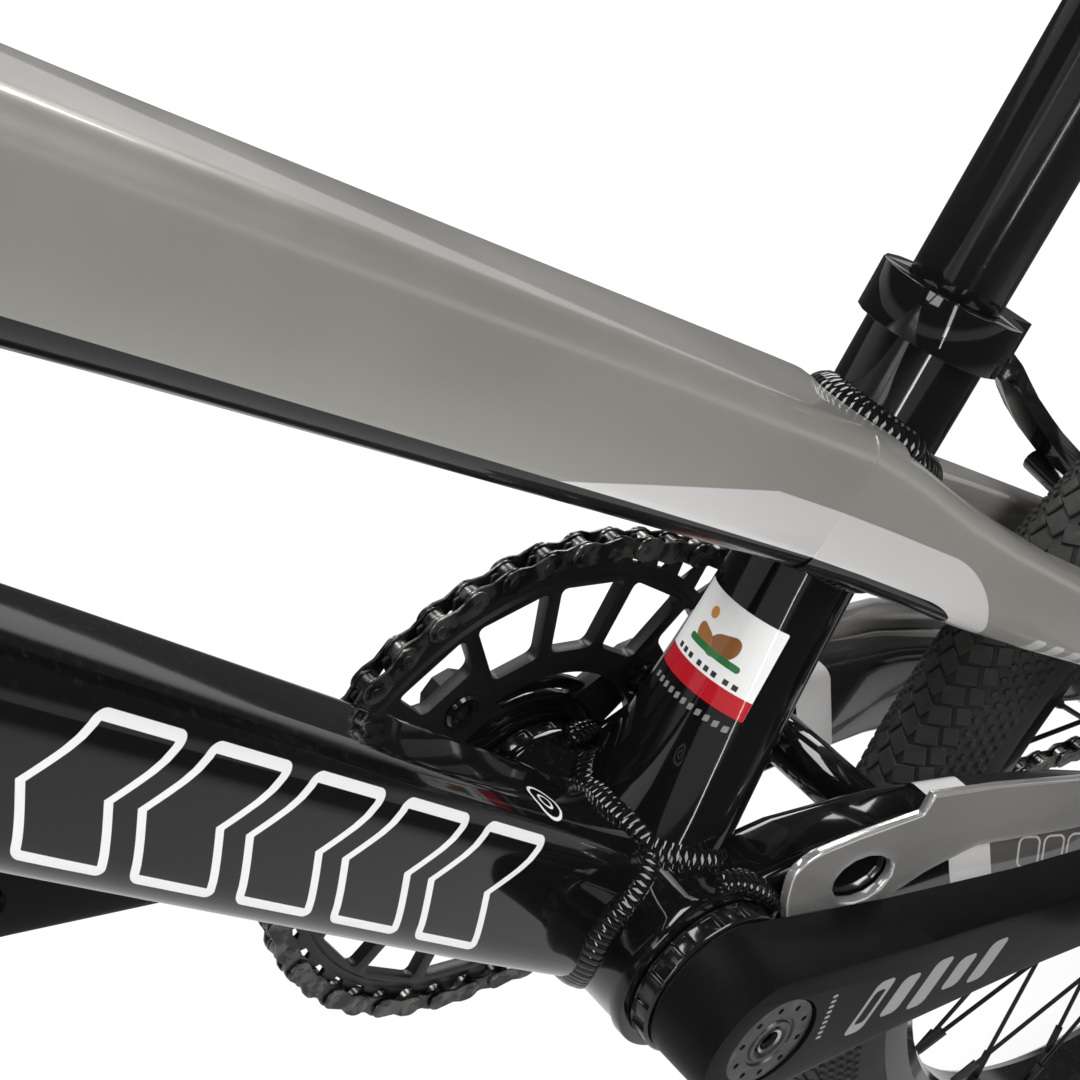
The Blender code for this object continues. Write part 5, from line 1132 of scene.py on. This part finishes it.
# %% Chainring bolts
for number in range(4):
    turn = BOLT_TURN + number * math.pi / 2
    spot = (BOLT_CIRCLE * math.cos(turn), -0.0475, BOLT_CIRCLE * math.sin(turn))
    bolt = turned(f"chainring_bolt_{number}", [
        (0.0026, 0.0), (0.0030, 0.0016), (0.0052, 0.0019), (0.0060, 0.0010), (0.0060, -0.0030), (0.0026, -0.0030)],
        spot, LEFT, 24)
    hand_over(bolt, "crank", gloss_alloy)

# %% [markdown]
# ## Chain
# A bicycle chain is a row of two kinds of link: inner plates round a roller, and outer plates riveted
# outside them. A plate is a flat stadium with a slim waist. It is made from a square whose corners are
# bevelled all the way, cut across the middle, and pinched there. The links then follow both sprockets and
# the two straight runs, one pitch apart.

# %% Places of the links
COG_TEETH = 16
cog_radius = PITCH / (2 * math.sin(math.pi / COG_TEETH))
centres = REAR_AXLE.xz
tilt = math.atan2(-centres.y, -centres.x)
lean = math.asin((ring_radius - cog_radius) / centres.length)
top_turn, low_turn = math.pi / 2 + tilt + lean, -math.pi / 2 + tilt - lean


def on_circle(centre, radius, turn):
    """A point in the XZ plane on a circle, at the chain line."""
    return Vector((centre[0] + radius * math.cos(turn), CHAIN_LINE, centre[1] + radius * math.sin(turn)))


route = [on_circle((0, 0), ring_radius, low_turn + (top_turn - low_turn) * step / 180) for step in range(181)]
route += [on_circle(centres, cog_radius, top_turn + (2 * math.pi + low_turn - top_turn) * step / 60)
          for step in range(61)]
route.append(route[0])
lengths = [(second - first).length for first, second in zip(route, route[1:])]
link_count = 2 * round(sum(lengths) / PITCH / 2)
pitch = sum(lengths) / link_count
pins, walked = [], 0.0
for first, second, length in zip(route, route[1:], lengths):
    while len(pins) * pitch < walked + length and len(pins) < link_count:
        pins.append(first.lerp(second, (len(pins) * pitch - walked) / length))
    walked += length
print("chain of", link_count, "links, pitch", round(pitch * 1000, 2), "mm")


# %% Chain plates
def chain_plate(name, thickness, half_height):
    """A stadium-shaped plate with a waist, flat in the XZ plane, centred between its two pins."""
    piece = blank(name)
    bpy.ops.mesh.primitive_plane_add(size=1, rotation=(math.pi / 2, 0, 0))
    stretch((pitch + 2 * half_height, 1, 2 * half_height))
    bpy.ops.mesh.bevel(offset=half_height * 0.98, segments=5, affect="VERTICES")
    for cut_x in (-0.3 * pitch, 0.0, 0.3 * pitch):
        everything()
        bpy.ops.mesh.bisect(plane_co=(cut_x, 0, 0), plane_no=(1, 0, 0))
        if cut_x == 0:
            stretch((1, 1, 0.72))
    everything()
    bpy.ops.mesh.extrude_region_move(TRANSFORM_OT_translate={"value": (0, thickness, 0)})
    clean()
    return soften(piece, 0.00022, 1, 50)


def link_places(start, offsets):
    """A place for each second link, at each sideways offset."""
    found = []
    for number in range(start, link_count, 2):
        first, second = pins[number], pins[(number + 1) % link_count]
        along = (second - first).normalized()
        for offset in offsets:
            found.append(Matrix.Translation((first + second) / 2 + LEFT * offset) @ Matrix((
                along, LEFT, along.cross(LEFT))).transposed().to_4x4())
    return found


PLATE, INNER_GAP = 0.00095, 0.00165
outer = copies("chain_outer_plates", chain_plate("plate", PLATE, 0.0041),
               link_places(0, (INNER_GAP + PLATE + 0.0001, -INNER_GAP - 2 * PLATE - 0.0001)))
hand_over(outer, "frame", chain_black, "chain", angle=40, tidy=False)
inner = copies("chain_inner_plates", chain_plate("plate", PLATE, 0.0042),
               link_places(1, (INNER_GAP, -INNER_GAP - PLATE)))
hand_over(inner, "frame", chain_black, angle=40, tidy=False)


# %% Chain rollers and pins
def chain_rounds(name, radius, half_width, sides, material):
    """A short cylinder at every pin."""
    piece = blank(name + "_one")
    bpy.ops.mesh.primitive_cylinder_add(vertices=sides, radius=radius, depth=2 * half_width,
                                        rotation=(math.pi / 2, 0, 0))
    soften(piece, 0.0003, 1, 50)
    hand_over(copies(name, piece, [Matrix.Translation(pin) for pin in pins]), "frame", material, tidy=False)


chain_rounds("chain_rollers", 0.0038, INNER_GAP - 0.0001, 16, chain_black)
chain_rounds("chain_pins", 0.0018, 0.0038, 12, gunmetal)

# %% [markdown]
# ## Wheels
# A tyre starts as a circle, the cross-section of its casing. The part inside the rim is removed and the
# rest is spun round the axle. The tread is made of blocks: chevrons on the crown, and rows of small studs
# on the shoulders. One pitch of the tread is modelled and then spun round as copies.

# %% Tyres
RIM_RADIUS, TYRE_HEIGHT, TYRE_WIDTH = 0.209, 0.038, 0.044
BELLY = RIM_RADIUS + TYRE_HEIGHT - TYRE_WIDTH / 2 - 0.0012
WHEELS = (("rear", REAR_AXLE), ("front", FRONT_AXLE))
TREAD_PITCHES, BLOCK_HEIGHT, CASING_RADIUS = 96, 0.0015, TYRE_WIDTH / 2 - 0.0012


def tyre_casing(name, axle):
    """The smooth casing of a tyre, open towards the rim."""
    piece = blank(name)
    section = axle + Vector((BELLY, 0, 0))
    bpy.ops.mesh.primitive_circle_add(vertices=40, radius=CASING_RADIUS, location=section)
    pick("verts", lambda vert: vert.co.x < axle.x + RIM_RADIUS - 0.0015)
    bpy.ops.mesh.delete(type="VERT")
    everything()
    bpy.ops.mesh.spin(steps=128, angle=2 * math.pi, center=axle, axis=LEFT)
    clean()
    return treat(piece, "SOLIDIFY", thickness=0.0025, offset=-1)


def tread_block(axle, across, size, turn, shift, stud):
    """One block on the casing: across is its angle over the section, shift its angle round the wheel."""
    radius = CASING_RADIUS + BLOCK_HEIGHT / 2 - 0.0004
    if stud:
        bpy.ops.mesh.primitive_cylinder_add(vertices=6, radius=0.5, depth=1, rotation=(0, math.pi / 2, 0))
    else:
        bpy.ops.mesh.primitive_cube_add(size=1, location=(0, 0, 0))
    stretch((BLOCK_HEIGHT, *size))
    if stud:
        pick("verts", lambda vert: vert.co.length < 0.01 and vert.co.x > 0)
        stretch((1, 0.72, 0.72))
        bpy.ops.mesh.select_linked()
    else:
        bpy.ops.mesh.bevel(offset=0.0003, segments=1, affect="EDGES")
    for angle, axis, centre in ((turn, "X", (0, 0, 0)), (across, "Z", (-radius, 0, 0))):
        if angle:
            bpy.ops.transform.rotate(value=angle, orient_axis=axis, center_override=centre)
    bpy.ops.transform.translate(value=axle + Vector((BELLY + radius, 0, 0)))
    if shift:
        bpy.ops.transform.rotate(value=shift, orient_axis="Y", center_override=axle)


def tread(name, axle):
    """All blocks of a tyre: one pitch, spun round."""
    piece = blank(name)
    step = 2 * math.pi / TREAD_PITCHES
    made = 0
    for way in (1, -1):
        rows = [(0.185, (0.0078, 0.0064), way * 0.45, 0.0, 2), (0.50, (0.0050, 0.0060), way * 0.45, 0.25, 2)]
        rows += [(0.70 + 0.150 * row, (0.0029, 0.0034), 0.0, 0.5 * (row % 2) / 3, 3) for row in range(5)]
        for across, size, turn, late, count in rows:
            for number in range(count):
                nothing()
                tread_block(axle, way * across, size, turn, (late + number / count) * step, count == 3)
                made += 1
    repeat_round(TREAD_PITCHES, axle)
    print(name, "has", made * TREAD_PITCHES, "blocks")
    return piece



for name, axle in WHEELS:
    hand_over(tyre_casing(name + "_tyre_casing", axle), name + "_wheel", tyre_rubber, name + "_tyre")
    hand_over(tread(name + "_tyre_tread", axle), name + "_wheel", tyre_rubber, tidy=False)

# %% [markdown]
# The rim is a rolled aluminium section with two flanges and a well between them. Hub, spokes and nipples
# follow: each spoke runs from the hub's flange to the rim, leaning forward or backward in turn, so that
# they cross.

# %% Rims
RIM_DEPTH, RIM_WIDTH, RIM_WALL, RIM_WELL = 0.021, 0.028, 0.0016, 0.0105
for name, axle in WHEELS:
    flange, inner_rim, well = RIM_WIDTH / 2, RIM_RADIUS - RIM_DEPTH, RIM_RADIUS - RIM_WELL
    rim = turned(name + "_rim_fine", [
        (RIM_RADIUS, flange), (inner_rim + 0.009, flange), (inner_rim + 0.0025, 0.0100), (inner_rim, 0.0060),
        (inner_rim, -0.0060), (inner_rim + 0.0025, -0.0100), (inner_rim + 0.009, -flange),
        (RIM_RADIUS, -flange), (RIM_RADIUS, RIM_WALL - flange), (well, RIM_WALL - flange),
        (well, flange - RIM_WALL), (RIM_RADIUS, flange - RIM_WALL)], axle, LEFT, 128, 0.0005)
    hand_over(rim, name + "_wheel", gloss_alloy, name + "_rim", angle=25)

# %% Spokes and hubs
SPOKES, SPOKE_LEAN, SPOKE_CIRCLE = 36, math.radians(58), 0.025
HUBS = {"rear": (0.0300, -0.0210, 0.110, 0.0150), "front": (0.0330, -0.0330, 0.100, 0.0140)}



for name, axle in WHEELS:
    flange_left, flange_right, spacing, core = HUBS[name]
    spokes = blank(name + "_spokes")
    reach = RIM_RADIUS - RIM_DEPTH - 0.0004
    for number in range(SPOKES):
        outwards, forward = (1, -1)[number % 2], (1, -1)[(number // 2) % 2]
        rim_turn = 2 * math.pi * (number + 0.25) / SPOKES
        hub_turn = rim_turn + forward * SPOKE_LEAN
        flange_y = flange_left if outwards > 0 else flange_right
        start = axle + Vector((SPOKE_CIRCLE * math.cos(hub_turn), flange_y + forward * 0.0011,
                               SPOKE_CIRCLE * math.sin(hub_turn)))
        end = axle + Vector((reach * math.cos(rim_turn), outwards * 0.0045 + forward * 0.0016,
                             reach * math.sin(rim_turn)))
        stick(start, end, 0.0010)
        stick(end.lerp(start, 0.075), end, 0.0019, 6)
        stick(start - LEFT * 0.0024, start + LEFT * 0.0024, 0.0016, 8)
    hand_over(spokes, name + "_wheel", spoke_steel, tidy=False)
    thick, flange_edge, end_y = 0.0022, SPOKE_CIRCLE + 0.0030, spacing / 2 - 0.0004
    low_flange, high_flange = [
        [(core, at - thick - 0.003), (flange_edge - 0.003, at - thick), (flange_edge, at - thick + 0.0006),
         (flange_edge, at + thick - 0.0006), (flange_edge - 0.003, at + thick), (core, at + thick + 0.003)]
        for at in (flange_right, flange_left)]
    hub = turned(name + "_hub_fine", [
        (0.0052, -end_y), (0.0085, -end_y), (0.0105, -end_y + 0.002), *low_flange,
        (core - 0.0025, flange_right + thick + 0.009), (core - 0.003, 0),
        (core - 0.0025, flange_left - thick - 0.009), *high_flange, (0.0105, end_y - 0.002), (0.0085, end_y),
        (0.0052, end_y)], axle, LEFT)
    hand_over(hub, name + "_wheel", gloss_alloy, name + "_hub", angle=28)

# %% [markdown]
# ## Handlebar and grips
# The bar is one steel tube: thick in the clamp, swept up on both sides, and straight at the ends. Its ribs
# follow a smooth line through the bends. The grips are turned with a flange and rows of fine ribs.

# %% Handlebar
STEM_REACH, BAR_CLAMP_RADIUS, BAR_RADIUS = 0.053, 0.0159, 0.0111
STEM_CENTRE = HEAD_TOP + (HEADSET_STACK + 0.0003 + BAR_CLAMP_RADIUS + 0.0041) * STEER_UP
BAR_CENTRE = STEM_CENTRE + STEM_REACH * STEER_FORE
BAR_RISE, BAR_WIDTH, BAR_STRAIGHT = 0.205, 0.720, 0.156
BAR_SHAPE = ((0, 0), (0.27, 0), (0.402, 0.039), (0.50, 0.185), (0.637, 0.488), (0.784, 0.810),
             (0.873, 0.9415), (1, 1))  # shares of the way to the straight end, and of the rise
bend_y = BAR_WIDTH / 2 - BAR_STRAIGHT
marks = [BAR_CENTRE + across * bend_y * LEFT + rise * BAR_RISE * STEER_UP for across, rise in BAR_SHAPE]
grip_way = (0.158 * LEFT + 0.004 * STEER_UP - 0.035 * STEER_FORE).normalized()
half_bar = [*smooth_line(marks, 29), marks[-1] + grip_way * (BAR_STRAIGHT / grip_way.y)]
bar_line = [Vector((spot.x, -spot.y, spot.z)) for spot in reversed(half_bar[1:])] + half_bar
ribs = []
for spot in bar_line:
    share = min(max((0.075 - abs(spot.y)) / 0.015, 0), 1)
    size = 2 * (BAR_RADIUS + share * (BAR_CLAMP_RADIUS - BAR_RADIUS))
    ribs.append((spot, size, size))
handlebar = skin("handlebar_skin", ribs, 1, 7, STEER_FORE)
hand_over(handlebar, "steering", gloss_alloy, "handlebar")

# %% Grips
GRIP_LENGTH, GRIP_RIBS = 0.134, 34
for name, way in SIDES:
    tip = Vector((half_bar[-1].x, way * half_bar[-1].y, half_bar[-1].z))
    inward = Vector((half_bar[-2].x, way * half_bar[-2].y, half_bar[-2].z)) - tip
    body_radius = BAR_RADIUS + 0.0031
    profile = [(0.0001, -0.004), (body_radius + 0.0002, -0.004), (body_radius + 0.0014, -0.0020),
               (body_radius + 0.0014, 0.0030), (body_radius, 0.0045)]
    rib_length = (GRIP_LENGTH - 0.014) / GRIP_RIBS
    for number in range(GRIP_RIBS):
        start = 0.0055 + rib_length * number
        profile += [(body_radius, start), (body_radius + 0.0008, start + rib_length * 0.3),
                    (body_radius + 0.0008, start + rib_length * 0.7)]
    profile += [(body_radius, GRIP_LENGTH - 0.006), (BAR_RADIUS + 0.0094, GRIP_LENGTH - 0.004),
                (BAR_RADIUS + 0.0094, GRIP_LENGTH - 0.0004), (BAR_RADIUS + 0.0003, GRIP_LENGTH),
                (BAR_RADIUS + 0.0003, 0.0), (0.0001, 0.0)]
    grip = turned(name + "_grip_fine", profile, tip, inward, 40)
    hand_over(grip, "steering", grip_rubber, name + "_grip")

# %% [markdown]
# ## Saddle
# A race saddle is a slim plastic shell with a padded cover. Its ribs go from the wide tail to the narrow
# nose, and a subdivision surface draws them into one soft form.

# %% Saddle
POST_TOP = 0.285
post_head = SEAT_UP * POST_TOP + Vector((0.002, 0, 0.004))
under = post_head.z + 0.0125
SADDLE = ((-0.1165, 0.0300, 0.100, 0.012), (-0.106, 0.0292, 0.132, 0.021), (-0.070, 0.0242, 0.139, 0.029),
          (-0.020, 0.0202, 0.106, 0.030), (0.040, 0.0190, 0.060, 0.026), (0.095, 0.0180, 0.041, 0.022),
          (0.125, 0.0167, 0.033, 0.018), (0.1325, 0.0157, 0.018, 0.010))
ribs = [(Vector((post_head.x + x, 0, under + rise)), wide, tall) for x, rise, wide, tall in SADDLE]
saddle = skin("saddle_cover", ribs, 0.75, 4)
treat(saddle, "SUBSURF", levels=2, render_levels=2)
hand_over(saddle, "seatpost", plastic, "saddle", angle=60)
lugs = blank("saddle_lugs")
for way in (1, -1):
    lug = (post_head.x, way * 0.0205, under - 0.006)
    nothing()
    bpy.ops.mesh.primitive_cube_add(size=1, location=lug)
    stretch((0.026, 0.0075, 0.034), lug)
everything()
bpy.ops.mesh.bevel(offset=0.003, segments=3, affect="EDGES")
hand_over(lugs, "seatpost", plastic)

# %% [markdown]
# ## Pedals
# Platform pedals keep their engineered cage, with its edges refined, and get short steel pins that hold the
# shoe's sole.

# %% Pedals
for name, way in SIDES:
    refined(name + "_pedal", matte_alloy, 0.0012, 2)
    low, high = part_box(name + "_pedal")
    pedal_pins = blank(name + "_pedal_pins")
    for across in (0.22, 0.444, 0.668):
        for along in (0.06, 0.94):
            for side in (1, -1):
                spot = Vector((low.x + (high.x - low.x) * along, low.y + (high.y - low.y) * across,
                               side * (high.z - low.z) / 2))
                stick(spot - Vector((0, 0, side * 0.003)), spot + Vector((0, 0, side * 0.0024)), 0.0016, 8)
    hand_over(pedal_pins, name + "_pedal", steel, tidy=False)

# %% [markdown]
# ## Floor and light
# The bike is in a plain white studio: a round floor that curves up into a wall, soft light panels
# overhead and at the sides, and a dim ceiling. Gloss paint shows what is around it. For mirrored rays
# alone the floor is pale near the bike and dark further out, so that black paint stays black, and the
# panels draw bright bands on the tubes' tops.

# %% Studio
floor_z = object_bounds()[0].z - 0.0003
studio = blank("studio")
WALL_RADIUS, WALL_HEIGHT = 7.0, 4.5
bpy.ops.mesh.primitive_cylinder_add(vertices=96, radius=WALL_RADIUS, depth=WALL_HEIGHT,
                                    location=(0, 0, floor_z + WALL_HEIGHT / 2))
pick("faces", lambda face: face.normal.z > 0.9)
bpy.ops.mesh.delete(type="FACE")
pick("edges", lambda edge: all(vert.co.z < floor_z + 0.01 for vert in edge.verts))
bpy.ops.mesh.bevel(offset=1.2, segments=10, affect="EDGES")
everything()
bpy.ops.mesh.flip_normals()
take(studio, "OBJECT")
bpy.ops.object.shade_smooth_by_angle(angle=math.radians(40))
white = bpy.data.materials.new("studio_white")
white.use_nodes = True
tree = white.node_tree
tree.nodes.clear()
lit = tree.nodes.new("ShaderNodeBsdfDiffuse")
lit.inputs["Color"].default_value = (0.86, 0.86, 0.86, 1)
glow = tree.nodes.new("ShaderNodeEmission")
glow.inputs["Strength"].default_value = 1.0
rays = tree.nodes.new("ShaderNodeLightPath").outputs
place = tree.nodes.new("ShaderNodeTexCoord").outputs["Object"]
spread = socket_of(tree, "VectorMath", socket_of(tree, "VectorMath", place, (1, 1, 0), operation="MULTIPLY"),
                   operation="LENGTH", output=1)
height = maths(tree, "SUBTRACT", socket_of(tree, "SeparateXYZ", place, output=2), floor_z)
near_floor = maths(tree, "SUBTRACT", 1.0, smooth_step(tree, spread, 0.50, 1.05))
low_wall = maths(tree, "MULTIPLY", smooth_step(tree, spread, 5.0, 5.8),
                 maths(tree, "SUBTRACT", 1.0, smooth_step(tree, height, 0.6, 1.4)))
mirrored = maths(tree, "ADD", maths(tree, "ADD", maths(tree, "MULTIPLY", near_floor, 0.62), 0.06),
                 maths(tree, "MULTIPLY", low_wall, 0.5))
reflection = tree.nodes.new("ShaderNodeEmission")
tree.links.new(mirrored, reflection.inputs["Strength"])
direct = tree.nodes.new("ShaderNodeMixShader")
tree.links.new(maths(tree, "MULTIPLY", rays["Is Camera Ray"], 0.78), direct.inputs[0])
tree.links.new(lit.outputs[0], direct.inputs[1])
tree.links.new(glow.outputs[0], direct.inputs[2])
both = tree.nodes.new("ShaderNodeMixShader")
tree.links.new(maths(tree, "MAXIMUM", rays["Is Glossy Ray"], rays["Is Transmission Ray"]), both.inputs[0])
tree.links.new(direct.outputs[0], both.inputs[1])
tree.links.new(reflection.outputs[0], both.inputs[2])
tree.links.new(both.outputs[0], tree.nodes.new("ShaderNodeOutputMaterial").inputs[0])
studio.data.materials.append(white)

# %% Lights
world = bpy.data.worlds.new("dim_ceiling")
world.use_nodes = True
rays = world.node_tree.nodes.new("ShaderNodeLightPath").outputs
around = socket_of(world.node_tree, "MapRange", rays["Is Glossy Ray"], 0.0, 1.0, 0.28, 0.05)
around = maths(world.node_tree, "MAXIMUM", around, rays["Is Camera Ray"])
world.node_tree.links.new(around, world.node_tree.nodes["Background"].inputs[1])
world.node_tree.nodes["Background"].inputs[0].default_value = (1, 1, 1, 1)
bpy.context.scene.world = world
bpy.context.scene.view_settings.view_transform = "Standard"


def panel(name, spot, aim, size, power):
    """A soft light panel that faces a point."""
    light = bpy.data.lights.new(name, "AREA")
    light.shape = "RECTANGLE"
    light.size, light.size_y = size
    light.energy = power
    lamp = bpy.data.objects.new(name, light)
    lamp.location = spot
    lamp.rotation_euler = (Vector(aim) - Vector(spot)).to_track_quat("-Z", "Y").to_euler()
    bpy.context.scene.collection.objects.link(lamp)


panel("key_panel", (-0.6, 1.9, 2.2), (0, 0, 0.05), (1.6, 1.2), 52)
panel("front_panel", (2.4, 0.6, 1.9), (0.1, 0, 0.1), (1.2, 1.2), 30)
panel("back_panel", (-1.6, -2.0, 1.9), (0, 0, 0.1), (1.8, 1.0), 45)
panel("top_panel", (0.8, -1.3, 2.5), (0.0, 0, 0), (1.7, 0.9), 56)
panel("low_strip", (1.25, 1.6, 0.0), (0, 0, 0.05), (0.05, 0.9), 2.5)
panel("strip", (1.7, 2.1, 0.8), (0, 0, 0.1), (0.22, 1.5), 10)
print("six panels")

# %% [markdown]
# ## Last step
# The script goes back to object mode and prints how many faces the new pieces have in all.

# %% Object mode and the face count
calm()
print("faces in all", total_faces)
